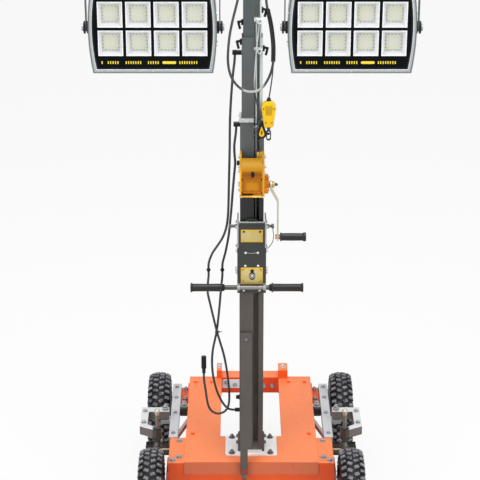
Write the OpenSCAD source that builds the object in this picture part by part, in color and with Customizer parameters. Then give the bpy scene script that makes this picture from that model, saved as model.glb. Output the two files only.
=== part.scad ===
// Mobile light tower: a four-wheel hand-pushed deck that carries a folding, three-stage slotted
// mast with a hand winch and two floodlights. Millimetres; +X right, +Y to the rear, +Z up.
// The origin is on the ground, midway between the axles.

/* [Chassis] */
// Width of the deck plate
deck_w = 526; // [480:1:600]
// Front edge of the deck, ahead of the origin
deck_front = 304; // [280:1:330]
// Rear edge of the deck, behind the origin
deck_rear = 461; // [430:1:500]
// Height of the deck's top above the ground
deck_z = 300; // [280:1:340]
// Thickness of the deck plate and its skirts
plate_t = 5; // [3:0.5:8]
// Depth of the deck's folded skirts
skirt_h = 53; // [40:1:70]
// Width of the large opening in the deck
cutout_w = 247; // [200:1:300]
// Width of the narrow opening round the mast base
base_slot_w = 206; // [180:1:230]
// Gap between the deck and each side rail
rail_gap = 33; // [30:1:45]
// Depth of the front cross-channel
channel_h = 100; // [80:1:120]
// Length of the front cross-channel, front to rear
channel_l = 209; // [180:1:240]
// Width of the rear crossbeam, front to rear
beam_d = 68; // [50:1:90]
// Height of the rear crossbeam
beam_h = 73; // [50:1:90]
// Height of the saddle blocks above the deck
saddle_h = 38; // [20:1:60]

/* [Side rails and stabilisers] */
// Width and height of a side rail's square tube
rail_s = 36; // [30:1:40]
// Rear end of the rails
rail_rear = 390; // [360:1:420]
// Height of the stabiliser arm's tubes
arm_h = 36; // [30:1:44]
// Width of the stabiliser arm's tubes
arm_w = 30; // [24:1:34]
// Radius of the levelling screw
screw_r = 8; // [6:0.5:10]
// Outer radius of the sleeve that the levelling screw turns in
sleeve_r = 17; // [14:0.5:22]
// Side of the square foot plate
foot_s = 100; // [80:1:104]

/* [Wheels] */
// Outer radius of the tyres
tyre_r = 180; // [170:1:185]
// Width of the tyres
tyre_w = 100; // [80:1:104]
// Depth of the tread between the lugs
tread_h = 7; // [4:0.5:9]
// Number of lugs round each shoulder of a tyre
lugs = 25; // [12:1:30]
// Radius of the rims at the tyre's bead
rim_r = 84; // [70:1:95]
// Gap between a side rail and the tyre beside it
tyre_gap = 8; // [5:1:20]
// Distance between the front and rear axles
wheelbase = 683; // [660:1:720]
// Radius of the stub axles
axle_r = 10; // [8:0.5:14]

/* [Mast] */
// Width of the fixed lower post
post_w = 92; // [84:1:100]
// How much narrower the outer stage is than the post
stage_step = 4; // [2:1:8]
// Gap all round between the outer and the middle stage
middle_gap = 3; // [1:0.5:5]
// Gap all round between the middle and the inner stage
inner_gap = 2; // [1:0.5:5]
// Wall of the mast profiles
wall = 3; // [2:0.5:4]
// Top of the lower post
post_top = 1012; // [900:1:1100]
// Length of the outer stage
outer_l = 625; // [560:1:700]
// Height that the middle stage shows above the outer stage
middle_show = 300; // [260:1:340]
// Height that the inner stage shows above the middle stage
inner_show = 224; // [210:1:260]
// Width of the lip that stays to the right of the rope slot on the inner stage
slot_lip = 6; // [5:1:10]
// Width of the rope slot
slot_w = 20; // [12:1:22]

/* [Fold bracket and push bar] */
// Thickness of the bracket's plates
bracket_t = 5; // [3:0.5:8]
// Height of the bracket's top above the fold axis
bracket_h = 235; // [220:1:280]
// Radius of the fold pin and the lock pin
pin_r = 8; // [6:0.5:10]
// Length of the push bar with its grips
bar_l = 426; // [380:1:520]
// Radius of the push bar's tube
bar_r = 9; // [7:0.5:12]
// Length of each rubber grip on the push bar
grip_l = 120; // [100:1:130]

/* [Winch] */
// Width of the winch between its outer faces
winch_w = 90; // [80:1:100]
// Distance from the mast's face to the axis of the drum
drum_reach = 51; // [46:1:60]
// Length of the crank between its two axes
crank_l = 204; // [160:1:206]
// Length of the crank's grip
crank_grip_l = 92; // [80:1:110]

/* [Floodlights] */
// Width of a floodlight at its middle
lamp_w = 458; // [400:1:480]
// Height of a floodlight
lamp_h = 312; // [280:1:320]
// Depth of a floodlight's housing
lamp_d = 84; // [60:1:100]
// Distance from the centre line to a floodlight's centre
lamp_x = 355; // [350:1:400]
// Height of a floodlight's tilt axis below the top of the yoke
yoke_h = 192; // [185:1:220]
// Width and height of the cross bar's square tube
cross_s = 40; // [30:1:50]

/* [Hidden] */

run_gap = 0.06;      // radial running clearance of a shaft in its bore
free_gap = 0.3;      // gap between faces that pass each other
mast_y = -177;       // middle of the post and the mast, front to rear
outer_w = post_w - stage_step;
middle_w = outer_w - 2 * (wall + middle_gap);
inner_w = middle_w - 2 * (wall + inner_gap);
slot_x = inner_w / 2 - slot_lip - slot_w; // left edge of the rope slot
fold_y = mast_y + post_w / 2 + 11; // axis that the mast folds about
fold_z = post_top + 23;
lock_y = mast_y;
lock_z = fold_z + 200;
deck_under = deck_z - plate_t;
slot_y0 = -257;      // front end of the narrow opening
slot_y1 = -90;       // where the narrow opening meets the large one
rail_x = deck_w / 2 + rail_gap + rail_s; // outer face of a rail, from the centre line
rail_z = deck_z - 2 - rail_s;
channel_w = 2 * rail_x - 14;
track = 2 * (rail_x + tyre_gap) + tyre_w;
rail_cap = 4;
rail_front = -deck_front + channel_l + rail_cap;
outer_z = fold_z + 5;
outer_top = outer_z + outer_l;
middle_top = outer_top + middle_show;
inner_top = middle_top + inner_show;
middle_z = outer_z + 20;
inner_z = middle_z + 20;
front_axle_y = -wheelbase / 2;
rear_axle_y = wheelbase / 2;
hub_x = rail_x + 3;  // where the hubs start, from the centre line
lamp_z = inner_top - yoke_h;
lamp_y = -190;       // tilt axis of the floodlights
lamp_front = lamp_y - 50; // plane of the floodlights' glass
pivot_x = rail_x + 20;    // swing axis of the stabiliser arms
pivot_y = 70;
jack_x = rail_x + 44;     // levelling screw
jack_y = -100;
arm_z = deck_z + 2;
winch_z = outer_z + 349;  // bottom of the winch
winch_face = mast_y - outer_w / 2;
drum_y = winch_face - drum_reach;
drum_z = winch_z + 111;
crank_y = drum_y - 16;
crank_z = drum_z - 63;
crank_out = winch_w / 2 + 50; // plane of the crank's arm
crank_hub = winch_w / 2 + 21; // inner end of the crank's hub
grip_x = crank_out + 9;
beam_x = cutout_w / 2;   // ends of the rear crossbeam, from the centre line
beam_y = 450;        // front of the rear crossbeam
saddle_y = beam_y - 8;
saddles = [[-beam_x - 22, -beam_x], [beam_x, beam_x + 40]];
facets = 48;

// ---------------------------------------------------------------- shared shapes

module box(lo, hi) {
    translate(lo) cube([hi[0] - lo[0], hi[1] - lo[1], hi[2] - lo[2]]);
}

module rod_x(x0, x1, y, z, r) {
    translate([x0, y, z]) rotate([0, 90, 0]) cylinder(r = r, h = x1 - x0, $fn = facets);
}

module rod_z(x, y, z0, z1, r) {
    translate([x, y, z0]) cylinder(r = r, h = z1 - z0, $fn = facets);
}

// A flat outline given in (Y, Z), extruded from x0 to x1
module plate_x(x0, x1, points) {
    translate([x0, 0, 0]) rotate([90, 0, 90]) linear_extrude(height = x1 - x0) polygon(points);
}

// Points along an ellipse from angle a0 to a1, in n steps
function arc(cx, cy, rx, ry, a0, a1, n) = [for (i = [0 : n])
    let (a = a0 + (a1 - a0) * i / n) [cx + rx * cos(a), cy + ry * sin(a)]];

// Square tube along X, Y or Z between two corners
module tube(lo, hi, t, along) {
    inset = [along == 0 ? -1 : t, along == 1 ? -1 : t, along == 2 ? -1 : t];
    difference() {
        box(lo, hi);
        box(lo + inset, hi - inset);
    }
}

// Mast profile: a square tube whose front face has a full-length slot for the hoist rope
module slotted_profile(w, z0, z1) {
    h = w / 2;
    edge = slot_x + slot_w;
    translate([0, mast_y, z0]) linear_extrude(height = z1 - z0) polygon([
        [slot_x, -h], [-h, -h], [-h, h], [h, h], [h, -h], [edge, -h],
        [edge, wall - h], [h - wall, wall - h], [h - wall, h - wall],
        [wall - h, h - wall], [wall - h, wall - h], [slot_x, wall - h]]);
}

// ---------------------------------------------------------------- swept leads and ropes

function unit(v) = v / max(norm(v), 1e-9);
function mix(a, b, t) = a + (b - a) * t;
// A smooth curve through the route's points, as Catmull-Rom spans of n steps
function span_point(a, b, c, d, t) = 0.5 * (2 * b + (c - a) * t + (2 * a - 5 * b + 4 * c - d) * t * t
    + (3 * b - a - 3 * c + d) * t * t * t);
function smooth(p, n) = [for (i = [0 : len(p) - 2]) for (k = [0 : n - 1])
    span_point(p[max(i - 1, 0)], p[i], p[i + 1], p[min(i + 2, len(p) - 1)], k / n), p[len(p) - 1]];
function direction(p, i) = unit(p[min(i + 1, len(p) - 1)] - p[max(i - 1, 0)]);
// Carries the ring's side direction along the curve with no twist
function sides(p, i = 0, side = [0, 1, 0]) = let (d = direction(p, i), s = unit(side - d * (side * d)))
    i == len(p) - 1 ? [s] : concat([s], sides(p, i + 1, s));
module swept(points, r, n = 2, ring = 8) {
    p = smooth(points, n);
    s = sides(p);
    rings = [for (i = [0 : len(p) - 1]) let (a = s[i], b = cross(direction(p, i), a))
        for (k = [0 : ring - 1]) p[i] + r * (cos(360 * k / ring) * a + sin(360 * k / ring) * b)];
    last = (len(p) - 1) * ring;
    walls = [for (i = [0 : len(p) - 2]) for (k = [0 : ring - 1]) let (j = (k + 1) % ring)
        for (f = [[i * ring + k, (i + 1) * ring + k, (i + 1) * ring + j],
                  [i * ring + k, (i + 1) * ring + j, i * ring + j]]) f];
    polyhedron(points = rings, faces = concat(walls,
        [[for (k = [0 : ring - 1]) k]], [[for (k = [ring - 1 : -1 : 0]) last + k]]));
}

// ---------------------------------------------------------------- chassis

module deck() {
    edge = deck_w / 2;
    opening = cutout_w / 2;
    color([0.95, 0.38, 0.14]) difference() {
        union() {
            box([-edge, -deck_front, deck_under], [edge, deck_rear, deck_z]);
            for (side = [-1, 1]) {
                x = side * (edge - plate_t / 2);
                box([x - plate_t / 2, slot_y1, deck_z - skirt_h], [x + plate_t / 2, deck_rear, deck_z]);
                inner = side * (opening + plate_t / 2);
                box([inner - plate_t / 2, slot_y1 + 6, deck_z - skirt_h / 2],
                    [inner + plate_t / 2, deck_rear, deck_z]);
                box([side > 0 ? opening : -edge, deck_rear - plate_t, deck_z - skirt_h],
                    [side > 0 ? edge : -opening, deck_rear, deck_z]);
            }
            box([-edge, -deck_front - plate_t, deck_z - skirt_h], [edge, -deck_front, deck_z]);
        }
        box([-opening, slot_y1, deck_z - 90], [opening, deck_rear + 10, deck_z + 10]);
        box([-base_slot_w / 2, slot_y0, deck_under - 1], [base_slot_w / 2, slot_y1 + 1, deck_z + 10]);
        for (x = saddles) box([x[0], saddle_y, deck_z - 90], [x[1], deck_rear + 10, deck_z + 10]);
    }
}

module front_channel() {
    half = channel_w / 2;
    rear = -deck_front + channel_l;
    low = deck_under - channel_h;
    color([0.9, 0.33, 0.12]) union() {
        box([-half, -deck_front, deck_under - plate_t], [half, rear, deck_under]);
        box([-half, -deck_front, low], [half, -deck_front + plate_t, deck_under]);
        box([-half, rear - plate_t, low], [half, rear, deck_under]);
        for (side = [-1, 1]) {
            x = side * (half - plate_t / 2);
            box([x - plate_t / 2, -deck_front, low], [x + plate_t / 2, rear, deck_under]);
        }
    }
}

module rear_crossbeam() {
    color([0.93, 0.36, 0.13]) tube([-beam_x, beam_y, deck_z - beam_h],
        [beam_x, beam_y + beam_d, deck_z], 4, 0);
}

// Raised blocks beside the crossbeam, let into notches in the deck's rear edge
module saddle_blocks() {
    color([0.95, 0.38, 0.14]) for (x = saddles)
        box([x[0], saddle_y, deck_z - beam_h], [x[1], beam_y + beam_d, deck_z + saddle_h]);
}

module side_rail(side) {
    x0 = side > 0 ? rail_x - rail_s : -rail_x;
    lug0 = side > 0 ? rail_x : -pivot_x - 20;
    lug1 = side > 0 ? pivot_x + 20 : -rail_x;
    color([0.62, 0.64, 0.66]) union() {
        tube([x0, rail_front, rail_z], [x0 + rail_s, rail_rear, rail_z + rail_s], wall, 1);
        for (y = [rail_front - rail_cap, rail_rear])
            box([x0, y, rail_z], [x0 + rail_s, y + rail_cap, rail_z + rail_s]);
        difference() {
            box([lug0, pivot_y - 20, rail_z + 20], [lug1, pivot_y + 20, rail_z + rail_s]);
            rod_z(side * pivot_x, pivot_y, rail_z, rail_z + rail_s + 1, pin_r);
        }
        rod_z(side * pivot_x, pivot_y, rail_z + 14, arm_z + arm_h + 6, pin_r);
        rod_z(side * pivot_x, pivot_y, arm_z + arm_h + 2, arm_z + arm_h + 9, 13);
    }
}

// Orange rear tabs, dark middle brackets and grey front gussets between the deck and the rails
module rail_brackets() {
    inner = deck_w / 2;
    outer = rail_x - rail_s;
    color([0.8, 0.35, 0.18]) for (side = [-1, 1]) mirror([side < 0 ? 1 : 0, 0, 0]) {
        difference() {
            box([inner, 262, rail_z + 6], [outer, 405, rail_z + 12]);
            for (y = [285, 382]) rod_z(inner + 15, y, rail_z, rail_z + 20, 5);
        }
        box([inner, 262, rail_z + 6], [inner + 5, 405, rail_z + 34]);
        box([inner, 165, rail_z], [outer, 205, rail_z + 30]);
        translate([0, 0, rail_z + 8]) linear_extrude(height = 20)
            polygon([[inner, 87], [inner, 45], [outer, -64], [outer, -20]]);
    }
}

// Stub axle with the plate that hangs it from the member above, and its end washer
module stub_axle(y, plate_in, points) {
    end = hub_x + tyre_w + 12;
    rod_x(plate_in, end, y, tyre_r, axle_r);
    rod_x(track / 2 + tyre_w / 2 - 3.5, end - 3, y, tyre_r, axle_r + 6);
    plate_x(plate_in, plate_in + 8, points);
}

module stub_axles() {
    low = deck_under - channel_h;
    front_points = [[front_axle_y - 30, tyre_r - 24], [front_axle_y + 30, tyre_r - 24],
        [-deck_front + 120, low], [-deck_front + 120, low + 60], [-deck_front, low + 60],
        [front_axle_y - 30, tyre_r + 30]];
    rear_points = [[rear_axle_y - 30, tyre_r - 24], [rear_axle_y + 30, tyre_r - 24],
        [rear_axle_y + 45, rail_z], [rear_axle_y - 60, rail_z]];
    color([0.55, 0.2, 0.12]) for (side = [0, 1]) mirror([side, 0, 0]) {
        stub_axle(front_axle_y, channel_w / 2, front_points);
        stub_axle(rear_axle_y, rail_x - 8, rear_points);
    }
}

module mast_base() {
    gap = 1;
    half = base_slot_w / 2 - gap;
    color([0.85, 0.86, 0.87]) difference() {
        union() {
            box([-half, slot_y0 + 9, deck_under], [half, slot_y1 - gap, deck_under + 8]);
            box([-half + 60, slot_y0 + 14, deck_under + 8],
                [half - 60, mast_y - post_w / 2, deck_under + 16]);
        }
        for (x = [26 - half, half - 26]) for (y = [slot_y0 + 22, slot_y1 - 16])
            rod_z(x, y, deck_under - 1, deck_under + 30, 5.5);
    }
}

module lower_post() {
    foot = deck_under + 8;
    color([0.36, 0.34, 0.32]) union() {
        slotted_profile(post_w, foot, post_top);
        box([-post_w / 2, mast_y - post_w / 2, post_top], [post_w / 2, mast_y + post_w / 2, post_top + 6]);
        for (side = [-1, 1]) {
            x = side * (post_w / 2 + 3);
            plate_x(x - 3, x + 3, [[mast_y - 44, foot], [mast_y + 44, foot], [mast_y + 44, foot + 12],
                [mast_y + 6, foot + 62], [mast_y - 6, foot + 62], [mast_y - 44, foot + 12]]);
        }
    }
}

// Flat diagonal bar from a lug on the deck's front skirt up to the face of the post
brace_top = post_top - 192;
module front_brace() {
    face = mast_y - post_w / 2;
    front = -deck_front - plate_t;
    thick = 10;
    color([0.34, 0.33, 0.31]) union() {
        plate_x(-43, 2, [[front - 18, 372], [face - thick, brace_top], [face, brace_top],
            [front - 18 + thick, 372]]);
        plate_x(-43, -14, [[front - 22, 262], [front - 18, 372], [front - 18 + thick, 372],
            [front - 12, 262]]);
        plate_x(-38, -18, [[front - 26, 238], [front - 26, 275], [front - 10, 275], [front, 290],
            [front, 238]]);
    }
}

cheek_x = outer_w / 2 + 5.2;
bracket_top = fold_z + bracket_h;
bracket_z = post_top - 27;
module fold_bracket() {
    front = mast_y - outer_w / 2 - 6;
    rear = fold_y + 18;
    past = cheek_x + bracket_t + 10;
    color([0.27, 0.27, 0.25]) difference() {
        union() {
            box([-cheek_x - bracket_t, front - bracket_t, bracket_z],
                [cheek_x + bracket_t, front, bracket_top]);
            for (side = [-1, 1]) {
                x0 = side > 0 ? cheek_x : -cheek_x - bracket_t;
                plate_x(x0, x0 + bracket_t, [[front - bracket_t, bracket_z], [front - bracket_t, bracket_top],
                    [mast_y - 20, bracket_top], [mast_y + 20, bracket_top - 2], [rear, bracket_top - 8],
                    [rear, bracket_z + 12], [rear - 12, bracket_z]]);
                packer = side > 0 ? post_w / 2 : -cheek_x;
                box([packer, mast_y - 40, bracket_z], [packer + cheek_x - post_w / 2, mast_y + 40, post_top]);
            }
            box([-30, front, bracket_z], [30, mast_y - post_w / 2, post_top]);
        }
        rod_x(-past, past, fold_y, fold_z, pin_r);
        rod_x(-past, past, lock_y, lock_z, pin_r + 1);
        for (x = [[-past, 1 - cheek_x], [cheek_x - 1, past]])
            box([x[0], lock_y, lock_z - pin_r - 1], [x[1], rear + 5, lock_z + pin_r + 14]);
    }
}

module fold_pin() {
    reach = cheek_x + bracket_t;
    color([0.6, 0.6, 0.6]) union() {
        rod_x(-reach - 6, reach + 6, fold_y, fold_z, pin_r);
        for (x = [-reach - 6, reach]) rod_x(x, x + 6, fold_y, fold_z, pin_r + 5);
    }
}

bar_x = -18;
bar_y = mast_y - outer_w / 2 - 6 - bracket_t - bar_r;
bar_z = post_top - 1;
module push_bar() {
    inset = 8;
    color([0.78, 0.79, 0.8])
        rod_x(bar_x - bar_l / 2 + inset, bar_x + bar_l / 2 - inset, bar_y, bar_z, bar_r);
}

module push_grips() {
    color([0.16, 0.16, 0.17]) for (side = [-1, 1]) {
        end = bar_x + side * bar_l / 2;
        translate([end, bar_y, bar_z]) rotate([0, side > 0 ? -90 : 90, 0]) difference() {
            rotate_extrude($fn = facets) polygon([[0, 0], [16, 0], [18, 2], [18, 5], [15, 8],
                [14.5, grip_l / 2], [15, grip_l - 8], [18, grip_l - 5], [18, grip_l - 1],
                [17, grip_l], [0, grip_l]]);
            translate([0, 0, 8]) cylinder(r = bar_r, h = grip_l, $fn = facets);
        }
    }
}

// ---------------------------------------------------------------- wheels

// Section of a tyre: bead, side wall, shoulder and crown on both sides, round the space for air
module tyre_section() {
    half = tyre_w / 2;
    depth = tyre_r - rim_r;
    mid = rim_r + depth * 0.48;
    bulge = depth * 0.4;
    air = depth * 0.42;
    round = 14;
    polygon(concat(
        [[rim_r, half - 16]], arc(mid, half - 24, bulge, 24, 150, 60, 5),
        arc(tyre_r - round, half - 22, round, round, 50, 8, 3), [[tyre_r, half - 30], [tyre_r, 30 - half]],
        arc(tyre_r - round, 22 - half, round, round, -8, -50, 3),
        arc(mid, 24 - half, bulge, 24, -60, -150, 5),
        [[rim_r, 16 - half], [rim_r + 12, 26 - half]],
        arc(mid, 0, air, half - 14, -130, -20, 5), arc(mid, 0, air, half - 14, 20, 130, 5),
        [[rim_r + 12, half - 26]]));
}

// Tyre with grooves between its lugs, which stand staggered on the two shoulders
module tyre(side, y) {
    step = 360 / lugs;
    groove_w = 2 * PI * tyre_r / lugs * 0.38;
    color([0.09, 0.09, 0.1]) translate([side * track / 2, y, tyre_r]) rotate([0, 90, 0]) difference() {
        rotate_extrude($fn = 96) tyre_section();
        for (k = [0 : lugs - 1]) for (shoulder = [0, 1])
            rotate([0, 0, (k + shoulder / 2) * step]) mirror([0, 0, shoulder])
                translate([tyre_r - tread_h, -groove_w / 2, 12]) cube([tread_h + 5, groove_w, tyre_w]);
    }
}

module rim(side, y) {
    half = tyre_w / 2;
    color([0.42, 0.06, 0.07]) translate([side * track / 2, y, tyre_r]) rotate([0, 90, 0]) difference() {
        rotate_extrude($fn = 72) polygon([[axle_r + run_gap, -half + 4], [24, -half + 4], [24, -10], [60, -4],
            [rim_r - 12, -22], [rim_r - 8, -half + 18], [rim_r, -half + 14], [rim_r - free_gap, -half + 18],
            [rim_r - free_gap, half - 18], [rim_r, half - 14], [rim_r - 8, half - 18],
            [rim_r - 12, -8], [60, 4], [24, 0], [24, half - 4], [axle_r + run_gap, half - 4]]);
        for (a = [0 : 72 : 359]) rotate([0, 0, a]) translate([42, 0, -20])
            cylinder(r = 9, h = 40, $fn = 24);
    }
}

// ---------------------------------------------------------------- stabilisers

module stabiliser_arm(side) {
    out_x = pivot_x + 97;
    color([0.66, 0.68, 0.7]) mirror([side < 0 ? 1 : 0, 0, 0]) difference() {
        union() {
            box([pivot_x - 16, pivot_y - 20, arm_z], [out_x - arm_w, pivot_y + 20, arm_z + arm_h]);
            box([out_x - arm_w, -60, arm_z], [out_x, pivot_y + 20, arm_z + arm_h]);
            translate([0, 0, arm_z]) linear_extrude(height = arm_h)
                polygon([[out_x, -60], [out_x, -78], [jack_x + 4, jack_y - sleeve_r],
                    [jack_x + 4, jack_y + sleeve_r - 4], [out_x - arm_w, -60]]);
            rod_z(jack_x, jack_y, arm_z - 16, arm_z + arm_h + 1, sleeve_r);
        }
        rod_z(pivot_x, pivot_y, arm_z - 1, arm_z + arm_h + 1, pin_r + run_gap);
        rod_z(jack_x, jack_y, arm_z - 20, arm_z + arm_h + 20, screw_r + run_gap);
        box([pivot_x + 24, pivot_y - 20 + wall, arm_z + wall],
            [out_x - wall, pivot_y + 20 - wall, arm_z + arm_h - wall]);
        box([out_x - arm_w + wall, -50, arm_z + wall],
            [out_x - wall, pivot_y + 18 - wall, arm_z + arm_h - wall]);
    }
}

// Levelling screw with a round head, on a dished square foot
module jack(side) {
    plate_z = rail_z - 16;
    head_z = arm_z + arm_h + 79;
    half = foot_s / 2;
    dish = 8;
    color([0.62, 0.63, 0.6]) mirror([side < 0 ? 1 : 0, 0, 0]) translate([jack_x, jack_y, 0]) union() {
        difference() {
            union() {
                box([-half, -half, plate_z], [half, half, plate_z + 4]);
                box([-half, -half, plate_z], [half, 4 - half, plate_z + dish]);
                box([-half, half - 4, plate_z], [half, half, plate_z + dish]);
            }
            for (x = [-1, 1]) rod_z(x * (half - 14), 0, plate_z - 1, plate_z + dish, 5);
        }
        rod_z(0, 0, plate_z + 4, head_z, screw_r);
        rod_z(0, 0, plate_z + 4, plate_z + 16, screw_r + 9);
        translate([0, 0, head_z]) sphere(r = screw_r + 4, $fn = 32);
    }
}

// ---------------------------------------------------------------- outer stage and its fittings

lug_r = 14;           // rounded end of the hinge lug, round the fold pin
module outer_stage() {
    h = outer_w / 2;
    color([0.3, 0.31, 0.3]) difference() {
        union() {
            slotted_profile(outer_w, outer_z, outer_top);
            box([-h, mast_y - h, outer_z], [h, mast_y + h, outer_z + 6]);
            plate_x(-h, h, concat([[fold_y + lug_r, fold_z + 20], [mast_y + h - 1, fold_z + 44]],
                arc(fold_y, fold_z, lug_r, lug_r, -180, 0, 12)));
        }
        rod_x(-h - 1, h + 1, fold_y, fold_z, pin_r + run_gap);
        rod_x(-h - 1, h + 1, lock_y, lock_z, pin_r);
    }
}

module outer_collar() {
    h = outer_w / 2;
    bore = middle_w / 2 + 0.5;
    color([0.8, 0.8, 0.8]) difference() {
        union() {
            box([-h - 3, mast_y - h - 3, outer_top - 12], [h + 3, mast_y + h + 3, outer_top]);
            box([-h - 3, mast_y - h - 3, outer_top], [h + 3, mast_y + h + 3, outer_top + 3]);
        }
        box([-h, mast_y - h, outer_top - 13], [h, mast_y + h, outer_top]);
        box([-bore, mast_y - bore, outer_top - 1], [bore, mast_y + bore, outer_top + 10]);
        box([slot_x - 1, mast_y - h - 10, outer_top - 20],
            [slot_x + slot_w + 1, mast_y - 10, outer_top + 10]);
    }
}

// Two short pins through the cheeks and the walls of the outer stage, with their knobs
module lock_pin() {
    reach = cheek_x + bracket_t;
    wall_x = outer_w / 2 - wall;
    color([0.5, 0.5, 0.5]) {
        union() {
            rod_x(-reach - 8, -wall_x, lock_y, lock_z, pin_r);
            rod_x(-reach - 26, -reach - 8, lock_y, lock_z, 6);
            rod_x(-reach - 30, -reach - 24, lock_y, lock_z, 10);
        }
        union() {
            rod_x(wall_x, reach + 12, lock_y, lock_z, pin_r);
            rod_x(reach + 12, reach + 24, lock_y, lock_z, 5);
            rod_x(reach + 20, reach + 30, lock_y, lock_z, 9);
        }
    }
}

cover_r = 32;        // ratchet cover on the winch's right side, with its three lobes
lobe_at = 28;
lobe_r = 12;
module winch_frame() {
    h = winch_w / 2;
    nose = winch_face - 106;
    top = winch_z + 176;
    side_points = [[winch_face, winch_z], [winch_face, top], [winch_face - 26, top], [drum_y - 14, top - 35],
        [nose + 10, top - 53], [nose, top - 75], [nose, winch_z + 16], [nose + 12, winch_z]];
    color([0.93, 0.62, 0.08]) difference() {
        union() {
            plate_x(-h, -h + 6, side_points);
            plate_x(h - 8, h, side_points);
            box([-h, winch_face - 8, winch_z], [h, winch_face, winch_z + 22]);
            box([-h, nose, winch_z], [h, winch_face, winch_z + 8]);
            plate_x(-h + 6, h - 8, concat([for (a = [100 : 16 : 212])
                    [drum_y + 54 * cos(a), drum_z - 14 + 50 * sin(a)]],
                [for (a = [212 : -16 : 100]) [drum_y + 50 * cos(a), drum_z - 14 + 46 * sin(a)]]));
            box([-h + 6, nose + 4, winch_z + 24], [h - 8, nose + 8, winch_z + 83]);
            rod_x(h, h + 8, crank_y, crank_z, cover_r);
            for (a = [90 : 120 : 330])
                rod_x(h, h + 14, crank_y + lobe_at * cos(a), crank_z + lobe_at * sin(a), lobe_r);
            rod_x(h + 8, h + 16, crank_y, crank_z, cover_r - 12);
            rod_x(h + 16, h + 20, crank_y, crank_z, 12);
        }
        rod_x(-h - 1, h + 40, crank_y, crank_z, 7 + run_gap);
        rod_x(-h - 1, h + 1, drum_y, drum_z, 8);
    }
}

rope_x = slot_x + 8;
rope_r = 2.5;
drum_r = 24;
pulley_r = 10;
// Drum, the hoist rope up to the top pulley, and the pulley's cheeks on the outer stage
module winch_drum() {
    h = winch_w / 2;
    up_y = drum_y + drum_r + rope_r;
    pulley_y = up_y + pulley_r;
    pulley_z = outer_top - 28;
    cheeks = [[slot_x - 5, slot_x - 1], [slot_x + slot_w + 1, slot_x + slot_w + 5]];
    color([0.62, 0.62, 0.63]) union() {
        rod_x(-h, h, drum_y, drum_z, 8);
        rod_x(-h + 10, h - 12, drum_y, drum_z, drum_r);
        for (x = [-h + 7, h - 12]) rod_x(x, x + 3, drum_y, drum_z, drum_r + 6);
        rod_z(rope_x, up_y, drum_z, pulley_z, rope_r);
        rod_x(rope_x - 4, rope_x + 4, pulley_y, pulley_z, pulley_r + rope_r);
        rod_x(cheeks[0][0], cheeks[1][1], pulley_y, pulley_z, 3);
        for (c = cheeks) box([c[0], pulley_y - 8, pulley_z - 12], [c[1], winch_face, pulley_z + 12]);
    }
}

module crank_arm() {
    elbow = crank_out - 3;
    color([0.82, 0.78, 0.68]) union() {
        rod_x(-winch_w / 2 + 8, crank_out - 12, crank_y, crank_z, 7);
        rod_x(crank_hub, crank_out - 22, crank_y, crank_z, 15);
        translate([0, crank_y - 12, crank_z]) rotate([-90, 0, 0]) linear_extrude(height = 24)
            polygon([[crank_hub, -8], [crank_hub + 6, -8], [crank_hub + 7, 14], [crank_out + 3, 62],
                [crank_out + 3, crank_l + 12], [elbow, crank_l + 12], [elbow, 66], [crank_hub, 18]]);
        rod_x(elbow, grip_x + crank_grip_l, crank_y, crank_z - crank_l, 5);
        rod_x(crank_out + 3, grip_x - free_gap, crank_y, crank_z - crank_l, 8);
    }
}

module crank_grip() {
    l = crank_grip_l;
    place = [grip_x, crank_y, crank_z - crank_l];
    color([0.16, 0.16, 0.17]) translate(place) rotate([0, 90, 0]) difference() {
        rotate_extrude($fn = facets) polygon([[0, 0], [15, 0], [16, 2], [16, 5], [14, 8], [14.5, l / 2],
            [14, l - 9], [17, l - 5], [17, l + 2], [15, l + 4], [0, l + 4]]);
        translate([0, 0, -1]) cylinder(r = 5 + run_gap, h = l + 1.5, $fn = facets);
    }
}

// ---------------------------------------------------------------- upper stages

// Guide shoe round the foot of a stage, a little smaller than the stage that it slides in
module shoe(w, around, z) {
    half = around / 2 - wall - free_gap;
    difference() {
        box([-half, mast_y - half, z], [half, mast_y + half, z + 30]);
        box([-w / 2 + 1, mast_y - w / 2 + 1, z - 1], [w / 2 - 1, mast_y + w / 2 - 1, z + 31]);
        box([slot_x, mast_y - half - 1, z - 1], [slot_x + slot_w, mast_y, z + 31]);
    }
}

module middle_stage() {
    color([0.33, 0.35, 0.35]) union() {
        slotted_profile(middle_w, middle_z, middle_top);
        shoe(middle_w, outer_w, middle_z);
    }
}

module inner_stage() {
    color([0.33, 0.35, 0.36]) union() {
        slotted_profile(inner_w, inner_z, inner_top);
        shoe(inner_w, middle_w, inner_z);
    }
}

module middle_rope() {
    y = mast_y - middle_w / 2 - 2;
    color([0.75, 0.76, 0.77]) union() {
        rod_z(rope_x, y, outer_z + 160, middle_top - 40, rope_r);
        box([rope_x - 9, y - 5, middle_top - 44],
            [slot_x + slot_w + 6, mast_y - middle_w / 2, middle_top - 34]);
    }
}

module inner_rope() {
    y = mast_y - inner_w / 2 - 2;
    top = middle_top + 65;
    color([0.75, 0.76, 0.77]) union() {
        rod_z(rope_x, y, middle_top - 480, top, rope_r);
        box([rope_x - 9, y - 6, top - 6], [slot_x + slot_w + 6, mast_y - inner_w / 2, top + 8]);
    }
}

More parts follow.
